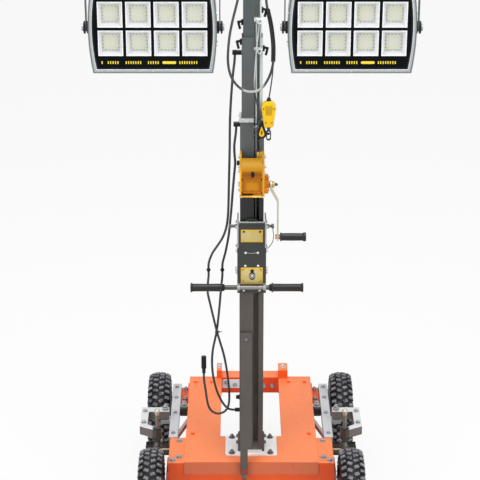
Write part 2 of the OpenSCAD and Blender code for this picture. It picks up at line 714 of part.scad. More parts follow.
gland_x = inner_w / 2 + 13;
gland_y = -188;
gland_z = inner_top - 39;
module mast_head() {
    half = lamp_x + 120;
    r = cross_s / 2;
    low = inner_top + 6;
    cap = inner_w / 2 + 5;
    color([0.25, 0.26, 0.27]) union() {
        tube([-half, mast_y - r, low], [half, mast_y + r, low + cross_s], 3, 0);
        for (x = [-half - 4, half]) box([x, mast_y - r, low], [x + 4, mast_y + r, low + cross_s]);
        box([-cap, mast_y - cap, inner_top], [cap, mast_y + cap, low]);
        for (side = [-1, 1]) {
            x = side * (cap - 2.5);
            box([x - 2.5, mast_y - 30, inner_top - 50], [x + 2.5, mast_y + 30, inner_top]);
            rod_z(side * gland_x, gland_y, gland_z, gland_z + 18, 8);
        }
    }
}

yoke_x = lamp_w / 2 + 8;
module yoke(side) {
    top = inner_top + 6;
    color([0.62, 0.64, 0.66]) translate([side * lamp_x, lamp_y, 0]) difference() {
        union() {
            box([-yoke_x - 4, -15, top - 5], [yoke_x + 4, mast_y + cross_s / 2 - lamp_y, top]);
            for (x = [-yoke_x - 4, yoke_x]) {
                box([x, -15, lamp_z], [x + 4, 15, top]);
                rod_x(x, x + 4, 0, lamp_z, 15);
            }
        }
        rod_x(-yoke_x - 10, yoke_x + 10, 0, lamp_z, 5 + run_gap);
    }
}

// Outline of a lamp's barrel-sided front, drawn in by an even margin
lamp_bulge = 14;
lamp_rim = 14;
glass_depth = 44;
module barrel(margin) {
    half = lamp_w / 2 - margin;
    hh = lamp_h / 2 - margin;
    polygon(concat([for (t = [-1 : 0.25 : 1]) [half - lamp_bulge * t * t, hh * t]],
        [for (t = [1 : -0.25 : -1]) [lamp_bulge * t * t - half, hh * t]]));
}

module lamp_housing(side) {
    half = lamp_w / 2;
    hh = lamp_h / 2;
    depth = lamp_front + lamp_d;
    fins = floor((half - 40) / 20);
    color([0.75, 0.76, 0.77]) translate([side * lamp_x, 0, lamp_z]) union() {
        difference() {
            translate([0, depth, 0]) rotate([90, 0, 0]) linear_extrude(height = lamp_d) barrel(0);
            translate([0, lamp_front + glass_depth, 0]) rotate([90, 0, 0])
                linear_extrude(height = glass_depth + 1) barrel(lamp_rim);
        }
        for (i = [-fins : fins]) box([i * 20 - 2, depth - 1, -hh + 30], [i * 20 + 2, depth + 22, hh - 30]);
        for (s = [-1, 1]) {
            x0 = s > 0 ? half - 1 : -yoke_x - 18;
            rod_x(x0, x0 + yoke_x + 19 - half, lamp_y, 0, 5);
            rod_x(s > 0 ? half - 1 : -half - 7.7, s > 0 ? half + 7.7 : -half + 1, lamp_y, 0, 12);
            rod_x(s > 0 ? yoke_x + 4.3 : -yoke_x - 18, s > 0 ? yoke_x + 18 : -yoke_x - 4.3, lamp_y, 0, 13);
        }
    }
}

// Black face with a pocket for each of the eight lighting cells, and a plain band below them
module lamp_face(side) {
    pitch_x = (lamp_w - 58) / 4;
    pitch_z = (lamp_h - 106) / 2;
    color([0.05, 0.05, 0.06]) translate([side * lamp_x, lamp_front, lamp_z]) difference() {
        translate([0, glass_depth, 0]) rotate([90, 0, 0]) linear_extrude(height = glass_depth - 2)
            barrel(lamp_rim + 0.5);
        for (i = [-1.5 : 1 : 1.5]) for (k = [0, 1])
            box([(i - 0.45) * pitch_x, -1, (k - 1) * pitch_z + 9],
                [(i + 0.45) * pitch_x, 32, k * pitch_z - 1]);
    }
}

// ---------------------------------------------------------------- leads, ropes and what hangs on them

lead_r = 4.5;
bead_r = 8;          // round rubber joint of a lead, on the fold axis
join_a = [-165, fold_y, fold_z];
join_b = [-112, fold_y, fold_z];
above = [0, 0, bead_r + free_gap];
// Route of each lead, top to bottom
lower_a = [join_a - above, [-165, -120, 1010], [-168, -123, 980], [-169, -127, 945], [-160, -132, 900],
    [-133, -139, 780], [-108, -145, 690], [-93, -149, 600], [-87, -154, 530], [-87, -158, 492],
    [-93, -161, 465], [-108, -162, 446], [-130, -162, 439], [-152, -160, 446], [-167, -156, 465],
    [-174, -152, 492], [-180, -147, 535], [-185, -145, 572], [-186, -145, 591], [-186, -145, 610]];
lower_b = [join_b - above, [-112, -120, 1010], [-115, -122, 980], [-119, -124, 940], [-124, -127, 880],
    [-135, -128, 780], [-149, -128, 710], [-154, -129, 650], [-150, -131, 590], [-138, -136, 535],
    [-127, -140, 505], [-115, -144, 482], [-102, -147, 464], [-88, -149, 453], [-74, -150, 450],
    [-69, -150, 450], [-64, -150, 450]];
upper_a = [[-62, -180, 1912], [-64, -180, 1870], [-70, -180, 1819], [-77, -180, 1726], [-81, -180, 1640],
    [-82, -180, 1554], [-84, -178, 1460], [-86, -172, 1379], [-88, -160, 1300], [-94, -146, 1228],
    [-112, -134, 1169], [-148, -124, 1108], [-163, -121, 1068], join_a + above];
upper_b = [[-58, -196, 1646], [-58, -196, 1636], [-58, -196, 1626], [-60, -196, 1600], [-65, -196, 1557],
    [-64, -196, 1520], [-62, -196, 1490], [-66, -194, 1440], [-71, -190, 1380], [-76, -180, 1310],
    [-81, -165, 1250], [-88, -145, 1180], [-100, -130, 1110], [-110, -122, 1068], join_b + above];
lamp_route = [[-gland_x, gland_y, gland_z], [-gland_x, gland_y, 2140], [-gland_x, gland_y, 2130],
    [-54, -200, 2090], [-68, -226, 2039], [-80, -250, 1985], [-86, -262, 1930], [-86, -266, 1880],
    [-74, -268, 1832], [-44, -268, 1794], [-6, -268, 1780], [34, -268, 1794], [62, -268, 1840],
    [74, -266, 1890], [74, -258, 1950], [66, -236, 2015], [52, -206, 2075],
    [gland_x, gland_y, 2130], [gland_x, gland_y, 2140], [gland_x, gland_y, gland_z]];
sleeve_route = concat([for (i = [13 : 15]) lamp_route[i]], [[54, -210, 2066]]);
cord_route = [[74, -276.2, 1897], [73, -280, 1870], [70, -284, 1835], [64, -286, 1790], [60, -286, 1765],
    [59, -286, 1752.3]];
rope_route = [[24, -214, 2023.7], [24, -215, 2008], [22, -219, 1985], [18, -229, 1953], [12, -242, 1890],
    [8, -255, 1820], [9, -258, 1780], [17, -268, 1735], [28, -284, 1690], [34, -292, 1660], [34, -292, 1646]];
lanyard_route = [[80, lock_y, 1225.6], [80, lock_y, 1218], [83, -180, 1198], [78, -184, 1172],
    [64, -186, 1152], [59, -186, 1150], [54.6, -186, 1150]];

module lead(points, r) {
    color([0.2, 0.2, 0.21]) swept(points, r);
}

// Plug of lead A, gland of lead B on the post, and the round joints on the fold axis
module lead_ends() {
    inlet = lower_b[len(lower_b) - 1];
    color([0.12, 0.12, 0.13]) {
        translate(lower_a[len(lower_a) - 1]) union() {
            cylinder(r = 7, h = 20, $fn = 32);
            translate([0, 0, 20]) cylinder(r = 10, h = 50, $fn = 32);
        }
        rod_x(inlet[0], -post_w / 2, inlet[1], inlet[2], 8);
        for (join = [join_a, join_b]) translate(join) sphere(r = bead_r, $fn = 32);
    }
}

// Clamps for the two upper leads; the top one stands just clear of the middle stage
module lead_clamps() {
    h = outer_w / 2;
    middle_clamp_z = middle_top - 69;
    clip = upper_b[0];
    color([0.12, 0.12, 0.13]) {
        difference() {
            box([clip[0] - 10, clip[1] - 10, outer_top - 33], [-h, clip[1] + 10, outer_top - 19]);
            rod_z(clip[0], clip[1], outer_top - 50, outer_top, lead_r + 0.2);
        }
        difference() {
            box([-72, -190, middle_clamp_z], [-middle_w / 2 - free_gap, -170, middle_clamp_z + 14]);
            rod_z(-62.4, -180, middle_clamp_z - 6, middle_clamp_z + 24, lead_r + 0.5);
        }
        box([-h - 12, clip[1] - 10, winch_z + 95], [-h, clip[1] + 6, winch_z + 109]);
    }
}

hook_x = 59;
hook_y = -286;
hook_z = outer_top - 9;
hook_half = 9;
module arrester_block() {
    color([0.97, 0.77, 0.1]) translate([hook_x, hook_y, hook_z]) rotate([90, 0, 0])
        translate([0, 0, -16]) linear_extrude(height = 32) polygon(concat(
            arc(0, 70, 26, 26, -20, 200, 12), [[-17, 0], [17, 0]]));
}

module arrester_hook() {
    color([0.5, 0.5, 0.52]) translate([hook_x, hook_y, hook_z]) union() {
        translate([0, 0, -6]) cylinder(r = 8, h = 6, $fn = 24);
        translate([0, 0, -14]) cylinder(r = 5, h = 10, $fn = 24);
        translate([0, 4, 0]) rotate([90, 0, 0]) difference() {
            union() {
                for (z = [-21, -43]) translate([0, z, 0]) cylinder(r = hook_half, h = 8, $fn = facets);
                translate([-hook_half, -43, 0]) cube([2 * hook_half, 22, 8]);
            }
            for (z = [-23, -42]) translate([0, z, -1]) cylinder(r = hook_half - 4, h = 10, $fn = facets);
            translate([4 - hook_half, -42, -1]) cube([2 * (hook_half - 4), 19, 10]);
        }
    }
}

eye_r = 15.7;
module rope_eye() {
    color([0.95, 0.75, 0.12]) translate([hook_x - hook_half - free_gap - eye_r, hook_y - 6, hook_z - 26])
        rotate([90, 0, 0]) rotate_extrude($fn = facets) polygon([[8, -2], [9, -5], [eye_r, -5],
            [eye_r, 5], [9, 5], [8, 2]]);
}

// ---------------------------------------------------------------- what is drawn

deck();
front_channel();
rear_crossbeam();
saddle_blocks();
side_rail(-1);  // side_rail_left
side_rail(1);  // side_rail_right
rail_brackets();
stub_axles();
mast_base();
lower_post();
front_brace();
fold_bracket();
fold_pin();
push_bar();
push_grips();
lead(lower_a, lead_r);  // lower_lead_a
lead(lower_b, lead_r);  // lower_lead_b
lead_ends();
tyre(-1, front_axle_y);  // tyre_front_left
tyre(1, front_axle_y);  // tyre_front_right
tyre(-1, rear_axle_y);  // tyre_rear_left
tyre(1, rear_axle_y);  // tyre_rear_right
rim(-1, front_axle_y);  // rim_front_left
rim(1, front_axle_y);  // rim_front_right
rim(-1, rear_axle_y);  // rim_rear_left
rim(1, rear_axle_y);  // rim_rear_right
stabiliser_arm(-1);  // stabiliser_arm_left
stabiliser_arm(1);  // stabiliser_arm_right
jack(-1);  // jack_left
jack(1);  // jack_right
outer_stage();
outer_collar();
lock_pin();
winch_frame();
winch_drum();
crank_arm();
crank_grip();
lead(upper_a, lead_r);  // upper_lead_a
lead(upper_b, lead_r);  // upper_lead_b
lead_clamps();
lead(lanyard_route, 1.5);  // pin_lanyard
middle_stage();
middle_rope();
inner_stage();
inner_rope();
mast_head();
yoke(-1);  // yoke_left
yoke(1);  // yoke_right
lead(lamp_route, lead_r);  // lamp_lead
lead(sleeve_route, 8);  // lead_sleeve
arrester_block();
lead(cord_route, 2.5);  // arrester_cord
arrester_hook();
lead(rope_route, 2.5);  // safety_rope
rope_eye();
lamp_housing(-1);  // lamp_housing_left
lamp_housing(1);  // lamp_housing_right
lamp_face(-1);  // lamp_face_left
lamp_face(1);  // lamp_face_right
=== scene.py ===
"""Looks of a mobile light tower: finishes, leads and ropes, tyres, lamp modules and small fittings."""

import math

import bpy
from mathutils import Matrix, Vector


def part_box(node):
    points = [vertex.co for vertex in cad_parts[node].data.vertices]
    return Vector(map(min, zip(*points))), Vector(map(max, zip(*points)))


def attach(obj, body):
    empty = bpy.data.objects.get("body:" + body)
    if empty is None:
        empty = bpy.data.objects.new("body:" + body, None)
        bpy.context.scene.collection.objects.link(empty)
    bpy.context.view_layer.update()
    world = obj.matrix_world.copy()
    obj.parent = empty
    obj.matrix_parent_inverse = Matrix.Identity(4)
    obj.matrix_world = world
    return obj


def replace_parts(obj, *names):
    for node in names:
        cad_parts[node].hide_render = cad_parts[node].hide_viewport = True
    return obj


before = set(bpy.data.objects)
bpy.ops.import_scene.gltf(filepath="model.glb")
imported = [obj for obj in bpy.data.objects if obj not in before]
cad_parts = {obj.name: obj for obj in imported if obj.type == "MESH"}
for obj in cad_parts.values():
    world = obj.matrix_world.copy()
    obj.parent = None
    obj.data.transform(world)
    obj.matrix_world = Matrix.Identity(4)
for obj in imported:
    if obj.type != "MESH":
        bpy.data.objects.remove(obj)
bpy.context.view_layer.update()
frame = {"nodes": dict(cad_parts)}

bl_info = {
    "name": "Mobile Light Tower Looks",
    "version": (1, 0, 0),
    "blender": (4, 5, 0),
    "location": "View3D > Sidebar > Light Tower",
    "description": "Finishes and details a folding light tower with a hand winch and two floodlights",
    "category": "Add Mesh",
}

SIDES = {"left": -1, "right": 1}
WHEELS = ("front_left", "front_right", "rear_left", "rear_right")


def srgb(red, green, blue):
    """A colour picked in 0 to 255 values, as the linear light that the shaders use."""
    def linear(value):
        part = value / 255
        return part / 12.92 if part <= 0.04045 else ((part + 0.055) / 1.055) ** 2.4
    return linear(red), linear(green), linear(blue)


# ---------------- sizes and colours

def colour_property(name, description, red, green, blue):
    return bpy.props.FloatVectorProperty(name=name, description=description, subtype="COLOR", size=3,
                                         min=0, max=1, default=srgb(red, green, blue))


def length_property(name, description, default):
    return bpy.props.FloatProperty(name=name, description=description, default=default,
                                   min=0.0001, max=5, subtype="DISTANCE", unit="LENGTH")


class TowerColours(bpy.types.PropertyGroup):
    """Colours of the tower's finishes"""
    orange: colour_property("Deck orange", "Powder coat of the deck and its beams", 238, 92, 30)
    post_grey: colour_property("Post grey", "Paint of the fixed lower post", 78, 71, 66)
    mast_grey: colour_property("Mast grey", "Paint of the lifting stages", 84, 88, 88)
    bracket_grey: colour_property("Bracket grey", "Paint of the fold bracket", 54, 56, 53)
    rail_grey: colour_property("Rail grey", "Paint of the side rails and stabilisers", 152, 151, 152)
    rim_red: colour_property("Rim red", "Paint of the wheel rims", 120, 22, 28)
    winch_yellow: colour_property("Winch yellow", "Paint of the winch", 166, 98, 4)
    safety_yellow: colour_property("Safety yellow", "Moulded case of the fall arrester", 230, 182, 10)
    zinc: colour_property("Zinc", "Galvanised and zinc plated steel", 205, 208, 210)
    brass: colour_property("Yellow zinc", "Yellow passivated nuts and feet", 196, 170, 96)
    silver: colour_property("Lamp silver", "Coated die casting of the floodlights", 172, 177, 179)
    rubber: colour_property("Rubber", "Tyres and grips", 26, 26, 28)
    lead: colour_property("Lead sheath", "Sheath of the electric leads", 50, 52, 54)
    phosphor: colour_property("Phosphor", "Panels of light emitting diodes", 205, 207, 192)


class TowerSizes(bpy.types.PropertyGroup):
    """Sizes of the modelled details"""
    lead_d: length_property("Lead diameter", "Outside diameter of the electric leads", 0.009)
    sleeve_d: length_property("Sleeve diameter", "Outside diameter of the lead's protective sleeve", 0.016)
    rope_d: length_property("Rope diameter", "Diameter of the safety rope and the arrester's cord", 0.005)
    lanyard_d: length_property("Lanyard diameter", "Diameter of the pin's lanyard", 0.003)
    lug_h: length_property("Tread depth", "Height of the lugs on the tyres", 0.009)
    module_w: length_property("Module width", "Width of one reflector of the floodlights", 0.089)
    module_h: length_property("Module height", "Height of one reflector of the floodlights", 0.092)
    module_pitch_x: length_property("Module pitch, across", "Distance between reflectors side by side", 0.1)
    module_pitch_z: length_property("Module pitch, up", "Distance between the two rows of reflectors", 0.103)


class StageSettings(bpy.types.PropertyGroup):
    """Camera and lamps of the studio"""
    eye: bpy.props.FloatVectorProperty(name="Camera", description="Place of the camera", size=3,
                                       subtype="XYZ", unit="LENGTH", default=(-0.044, -5.4825, 3.173))
    pitch: bpy.props.FloatProperty(name="Downward tilt", description="Angle below the horizon",
                                   subtype="ANGLE", default=math.radians(20.6))
    lens: bpy.props.FloatProperty(name="Lens", description="Focal length on a 36 mm sensor",
                                  subtype="DISTANCE_CAMERA", default=112.5)
    ambient: bpy.props.FloatProperty(name="Ambient", description="Strength of the room's even light",
                                     default=0.55, min=0, max=2)


# ---------------- finishes

class Finish:
    """A node material under construction: each method adds a node and returns its output."""

    def __init__(self, name, roughness=0.5, metallic=0.0):
        self.material = bpy.data.materials.new(name)
        self.material.use_nodes = True
        self.tree = self.material.node_tree
        self.shader = self.tree.nodes["Principled BSDF"]
        self.shader.inputs["Metallic"].default_value = metallic
        self.shader.inputs["Roughness"].default_value = roughness
        self.place = self.node("ShaderNodeTexCoord").outputs["Object"]
        self.geometry = self.node("ShaderNodeNewGeometry")

    def node(self, kind, **settings):
        made = self.tree.nodes.new(kind)
        for key, value in settings.items():
            setattr(made, key, value)
        return made

    def plug(self, value, socket):
        if isinstance(value, bpy.types.NodeSocket):
            self.tree.links.new(value, socket)
        elif isinstance(value, (tuple, list)) and len(value) == 3 and len(socket.default_value) == 4:
            socket.default_value = (*value, 1)
        else:
            socket.default_value = value

    def done(self, colour, roughness, normal, shine=None):
        """Plugs the finished colour, roughness and normal in, and returns the material."""
        self.plug(colour, self.shader.inputs["Base Color"])
        if roughness is not None:
            self.plug(roughness, self.shader.inputs["Roughness"])
        self.plug(normal, self.shader.inputs["Normal"])
        if shine is not None:
            self.shader.inputs["Specular IOR Level"].default_value = shine
        return self.material

    def stretched(self, scale):
        mapping = self.node("ShaderNodeMapping")
        mapping.inputs["Scale"].default_value = scale
        self.plug(self.place, mapping.inputs["Vector"])
        return mapping.outputs["Vector"]

    def noise(self, scale, detail=3.0, roughness=0.55, vector=None):
        made = self.node("ShaderNodeTexNoise")
        made.inputs["Scale"].default_value = scale
        made.inputs["Detail"].default_value = detail
        made.inputs["Roughness"].default_value = roughness
        self.plug(vector or self.place, made.inputs["Vector"])
        return made.outputs["Fac"]

    def cells(self, scale):
        made = self.node("ShaderNodeTexVoronoi", feature="F1")
        made.inputs["Scale"].default_value = scale
        self.plug(self.place, made.inputs["Vector"])
        return made.outputs["Distance"]

    def slanting_bands(self, scale, vector):
        made = self.node("ShaderNodeTexWave", bands_direction="DIAGONAL")
        made.inputs["Scale"].default_value = scale
        made.inputs["Distortion"].default_value = 0.0
        self.plug(vector, made.inputs["Vector"])
        return made.outputs["Fac"]

    def spread(self, value, low, high, to_low=0.0, to_high=1.0):
        made = self.node("ShaderNodeMapRange")
        for key, number in (("From Min", low), ("From Max", high), ("To Min", to_low), ("To Max", to_high)):
            made.inputs[key].default_value = number
        self.plug(value, made.inputs["Value"])
        return made.outputs["Result"]

    def product(self, a, b):
        made = self.node("ShaderNodeMath", operation="MULTIPLY")
        self.plug(a, made.inputs[0])
        self.plug(b, made.inputs[1])
        return made.outputs["Value"]

    def mix(self, factor, a, b):
        made = self.node("ShaderNodeMix", data_type="RGBA")
        self.plug(factor, made.inputs["Factor"])
        colours = [socket for socket in made.inputs if socket.type == "RGBA"]
        self.plug(a, colours[0])
        self.plug(b, colours[1])
        return [socket for socket in made.outputs if socket.type == "RGBA"][0]

    def rounded(self, radius):
        made = self.node("ShaderNodeBevel", samples=4)
        made.inputs["Radius"].default_value = radius
        return made.outputs["Normal"]

    def edges(self, round_normal, full=0.8):
        """1 along the sharp edges, where the rounded normal leaves the true one."""
        dot = self.node("ShaderNodeVectorMath", operation="DOT_PRODUCT")
        self.plug(round_normal, dot.inputs[0])
        self.plug(self.geometry.outputs["Normal"], dot.inputs[1])
        return self.spread(dot.outputs["Value"], 0.985, full)

    def along(self, axis):
        """Place on the part along X, Y or Z, in metres."""
        parts = self.node("ShaderNodeSeparateXYZ")
        self.plug(self.place, parts.inputs["Vector"])
        return parts.outputs[axis]

    def band(self, axis, start, end, blur=0.0012):
        """1 between two places along an axis, 0 outside them."""
        rise = self.spread(self.along(axis), start - blur, start + blur)
        fall = self.spread(self.along(axis), end - blur, end + blur, 1.0, 0.0)
        return self.product(rise, fall)

    def region(self, bounds, strength):
        """The strength inside a box given by its (axis, start, end, blur) limits, 0 outside it."""
        covered = strength
        for limits in bounds:
            covered = self.product(self.band(*limits), covered)
        return covered

    def zoned(self, base, zones):
        """The base colour with each zone of (limits, colour, strength) laid over it."""
        for bounds, colour, strength in zones:
            base = self.mix(self.region(bounds, strength), base, colour)
        return base

    def facing_up(self):
        parts = self.node("ShaderNodeSeparateXYZ")
        self.plug(self.geometry.outputs["Normal"], parts.inputs["Vector"])
        return parts.outputs["Z"]

    def bump(self, height, distance, normal=None, strength=1.0):
        made = self.node("ShaderNodeBump")
        made.inputs["Strength"].default_value = strength
        made.inputs["Distance"].default_value = distance
        self.plug(height, made.inputs["Height"])
        if normal is not None:
            self.plug(normal, made.inputs["Normal"])
        return made.outputs["Normal"]


def shade(colour, factor):
    return tuple(min(1.0, part * factor) for part in colour)


def paint(name, colour, gloss=0.36, chip=(0.3, 0.29, 0.28), grime=0.25, zones=(), lit_top=None, shine=0.4):
    """Powder coat or enamel over steel: orange peel, uneven patches, grime and chips along the edges.

    chip is the colour under the coat; the top colour is a painted highlight and sheen laid on upward faces,
    for the light from above."""
    made = Finish(name, gloss)
    rounded = made.rounded(0.0016)
    patches = made.noise(5.0, 4.0)
    base = made.mix(made.spread(patches, 0.3, 0.7), shade(colour, 0.9), shade(colour, 1.08))
    # painted highlight: upward faces are lightened towards the top colour, for the light and sheen from
    # above
    if lit_top:
        base = made.mix(made.spread(made.facing_up(), 0.5, 0.95, 0.0, 0.8), base, lit_top)
    base = made.zoned(base, zones)
    stains = made.spread(made.noise(13.0, 8.0, 0.7), 0.56, 0.78, 0.0, grime)
    base = made.mix(stains, base, shade(colour, 0.45))
    upright_lines = made.noise(60.0, 3.0, 0.5, made.stretched((1.0, 1.0, 0.06)))
    base = made.mix(made.spread(upright_lines, 0.7, 0.76, 0.0, 0.25), base, shade(colour, 1.5))
    chips = made.product(made.edges(rounded), made.spread(made.noise(90.0, 5.0, 0.65), 0.52, 0.7))
    base = made.mix(chips, base, chip)
    return made.done(base, made.spread(made.noise(22.0, 5.0), 0.3, 0.75, gloss - 0.07, gloss + 0.16),
                     made.bump(made.noise(260.0, 2.0), 0.0004, rounded, 0.35), shine)


def plated(name, colour, roughness=0.34, spangle=0.1, metallic=0.9, zones=()):
    """Zinc plated or galvanised steel, with its crystals, dull patches and white bloom."""
    made = Finish(name, roughness, metallic)
    rounded = made.rounded(0.001)
    crystals = made.cells(140.0)
    base = made.mix(made.spread(crystals, 0.1, 0.9, 0.0, spangle), colour, shade(colour, 0.55))
    base = made.zoned(base, zones)
    bloom = made.spread(made.noise(16.0, 7.0, 0.7), 0.5, 0.75, 0.0, 0.5)
    base = made.mix(bloom, base, shade(colour, 0.72))
    return made.done(base, made.spread(made.noise(34.0, 6.0), 0.3, 0.7, roughness - 0.1, roughness + 0.18),
                     made.bump(made.noise(420.0, 3.0), 0.0002, rounded, 0.4))


def brushed(name, colour, roughness, zones):
    """Bright tube drawn along X, with fine lines along its length."""
    made = Finish(name, roughness, 1.0)
    rounded = made.rounded(0.0008)
    lines = made.noise(500.0, 3.0, 0.6, made.stretched((0.02, 1.0, 1.0)))
    spots = made.spread(made.noise(30.0, 7.0, 0.7), 0.58, 0.74, 0.0, 0.6)
    base = made.mix(spots, made.mix(lines, shade(colour, 0.85), shade(colour, 1.1)), shade(colour, 0.45))
    base = made.zoned(base, zones)
    return made.done(base, made.spread(lines, 0.2, 0.8, roughness - 0.08, roughness + 0.18),
                     made.bump(lines, 0.0001, rounded, 0.5))


def rubber(name, colour, roughness, grain, dust, shine, worn=None, zones=()):
    """Rubber with a fine grain, scuffs and a little dust on what faces up.

    worn names the piece's attribute that is 1 where the rubber is painted pale, partly as wear and partly as
    painted highlight."""
    made = Finish(name, roughness)
    rounded = made.rounded(0.0028 if worn else 0.0012)
    marks = made.spread(made.noise(28.0, 8.0, 0.7), 0.45, 0.8)
    base = made.mix(marks, colour, shade(colour, 1.9))
    base = made.zoned(base, zones)
    # lug tops painted pale and their edges paler still: partly wear and scuffs, partly painted highlight
    if worn:
        tread = made.node("ShaderNodeAttribute", attribute_name=worn).outputs["Fac"]
        tops = made.product(tread, made.spread(made.noise(42.0, 3.0), 0.36, 0.66, 0.12, 0.9))
        base = made.mix(tops, base, srgb(150, 148, 156))
        scuffs_and_highlights = made.product(tread, made.spread(made.noise(70.0, 4.0), 0.3, 0.6, 0.0, 0.9))
        base = made.mix(made.product(made.edges(rounded, 0.85), scuffs_and_highlights), base, srgb(190, 190, 200))
    settled = made.product(made.spread(made.facing_up(), 0.1, 1.0),
                           made.spread(made.noise(9.0, 6.0), 0.35, 0.75, 0.0, dust))
    base = made.mix(settled, base, srgb(138, 136, 138))
    return made.done(base, made.spread(marks, 0.0, 1.0, roughness - 0.1, roughness + 0.12),
                     made.bump(made.noise(700.0, 3.0), grain, rounded, 0.35), shine)


def moulded(name, colour, gloss, shine=0.35):
    """Injection moulded plastic: even colour, faint flow marks and hairline scratches."""
    made = Finish(name, gloss)
    rounded = made.rounded(0.002)
    base = made.mix(made.noise(9.0, 3.0), shade(colour, 0.93), shade(colour, 1.05))
    marks = made.spread(made.noise(45.0, 8.0, 0.75), 0.6, 0.78, 0.0, 0.35)
    base = made.mix(marks, base, shade(colour, 0.55))
    return made.done(base, made.spread(marks, 0.0, 0.35, gloss - 0.05, gloss + 0.2),
                     made.bump(made.noise(320.0, 2.0), 0.0002, rounded, 0.3), shine)


def cast_silver(name, colour):
    """Silver powder coat on a die casting, slightly pebbled."""
    made = Finish(name, 0.38, 0.55)
    rounded = made.rounded(0.0025)
    base = made.mix(made.noise(6.0, 4.0), shade(colour, 0.92), shade(colour, 1.06))
    soot = made.spread(made.noise(18.0, 8.0, 0.7), 0.58, 0.8, 0.0, 0.35)
    base = made.mix(soot, base, shade(colour, 0.4))
    return made.done(base, made.spread(made.noise(60.0, 5.0), 0.3, 0.7, 0.3, 0.5),
                     made.bump(made.noise(520.0, 2.0), 0.0003, rounded, 0.35))


def enamelled_glass(name, colour):
    """Black enamel behind glass: deep, even and glossy, with faint smears and dust."""
    made = Finish(name, 0.08)
    rounded = made.rounded(0.0008)
    smears = made.spread(made.noise(14.0, 6.0, 0.6, made.stretched((1.0, 1.0, 3.0))), 0.42, 0.75)
    specks = made.spread(made.noise(240.0, 2.0), 0.7, 0.76, 0.0, 0.25)
    base = made.mix(specks, made.mix(smears, colour, shade(colour, 2.2)), srgb(120, 120, 122))
    return made.done(base, made.spread(smears, 0.0, 1.0, 0.06, 0.24),
                     made.bump(made.noise(8.0, 2.0), 0.0006, rounded, 0.25), 0.08)


def wire_rope(name, colour, zones=()):
    """Twisted wire: slanting bands of bright strands with dark gaps between them."""
    made = Finish(name, 0.36, 0.35)
    bands = made.slanting_bands(190.0, made.stretched((1.0, 1.0, 0.62)))
    worn = made.spread(made.noise(24.0, 6.0), 0.35, 0.75, 0.75, 1.1)
    base = made.mix(bands, shade(colour, 0.5), colour)
    dull = made.mix(made.spread(worn, 0.75, 1.1), shade(colour, 0.72), base)
    return made.done(made.zoned(dull, zones), made.spread(bands, 0.0, 1.0, 0.55, 0.28),
                     made.bump(bands, 0.0008, None, 0.8))


def reflector_white(name, colour):
    """White reflector moulding, a little dusty, with painted shade down in its dishes, and darker on what
    faces up.
    """
    made = Finish(name, 0.3)
    rounded = made.rounded(0.0012)
    haze = made.spread(made.noise(20.0, 6.0, 0.6), 0.4, 0.8)
    base = made.mix(haze, colour, shade(colour, 0.9))
    # painted shade deep in the dish
    base = made.zoned(base, (((("Y", -0.2355, -0.1, 0.001),), shade(colour, 0.88), 0.75),))
    base = made.mix(made.spread(made.facing_up(), 0.25, 0.8, 0.0, 0.7), base, shade(colour, 0.7))
    return made.done(base, made.spread(haze, 0.0, 1.0, 0.3, 0.5),
                     made.bump(made.noise(400.0, 2.0), 0.0001, rounded, 0.3), 0.3)


def phosphor(name, colour):
    """Pale yellow phosphor with the fine grid of its diodes."""
    made = Finish(name, 0.5)
    grid = made.cells(520.0)
    base = made.mix(made.spread(grid, 0.0, 0.6), shade(colour, 1.06), shade(colour, 0.86))
    stain = made.spread(made.noise(26.0, 5.0), 0.45, 0.8, 0.0, 0.3)
    base = made.mix(stain, base, srgb(206, 198, 150))
    return made.done(base, None, made.bump(grid, 0.0002, made.rounded(0.0006), 0.4))


# Zones of a finish, each (limits, colour, strength); a limit is (axis, start, end) and how far it blurs
BELOW, BEYOND = -1, 3      # past the tower, for a zone that is open on one side
INSIDE_STAGE = (("X", -0.0314, 0.0314, 0.0008), ("Y", -0.2084, -0.1456, 0.0008), ("Z", 1.44, BEYOND, 0.02))
INSIDE_POST = (("X", -0.0438, 0.0438), ("Y", -0.2205, -0.1332))
MAST_TOP = ("Z", 1.9655, BEYOND)

DECK_SHADE_ZONES = (             # painted shade on the front channel's lip and face and on the crossbeam's face
    ((("Y", -0.3075, -0.3035),), srgb(204, 66, 16), 0.75),
    ((("Y", BELOW, -0.3075),), srgb(176, 100, 70), 0.75),
    ((("Y", 0.4495, 0.4515),), srgb(214, 50, 6), 0.85))
RAIL_BRACKET_ZONES = (     # bare clamped middle, zinc at the front
    ((("Y", 0.15, 0.215),), srgb(70, 64, 60), 0.92),
    ((("Y", BELOW, 0.1),), srgb(158, 156, 156), 0.92))
BRACE_ZONES = (((("Z", 0, 0.284),), srgb(140, 52, 30), 0.9),)          # rusty foot
POST_LIGHT_ZONES = ((INSIDE_POST, srgb(176, 164, 152), 0.9),)                # painted light on the post's inner walls
MAST_TONE_LIGHT_AND_SHADE_ZONES = (             # the inner stage's darker grey, a painted shadow under the winch, painted shade on the left sides, a painted highlight right of the slot and painted light on the inner walls
    ((MAST_TOP,), srgb(66, 74, 76), 0.85),
    ((("X", -0.0437, 0.0437), ("Y", -0.3, -0.2), ("Z", 1.2, 1.4, 0.012)), srgb(17, 17, 15), 0.95),
    ((("X", -0.06, -0.0312), MAST_TOP), srgb(30, 36, 36), 0.8),
    ((("X", -0.06, -0.0362), ("Z", 1.667, 1.9655)), srgb(34, 38, 38), 0.8),
    ((("X", 0.0268, 0.06), ("Y", -0.23, -0.2075), ("Z", 1.72, BEYOND, 0.03)), srgb(206, 214, 212), 0.85),
    (INSIDE_STAGE, srgb(206, 214, 210), 0.92))
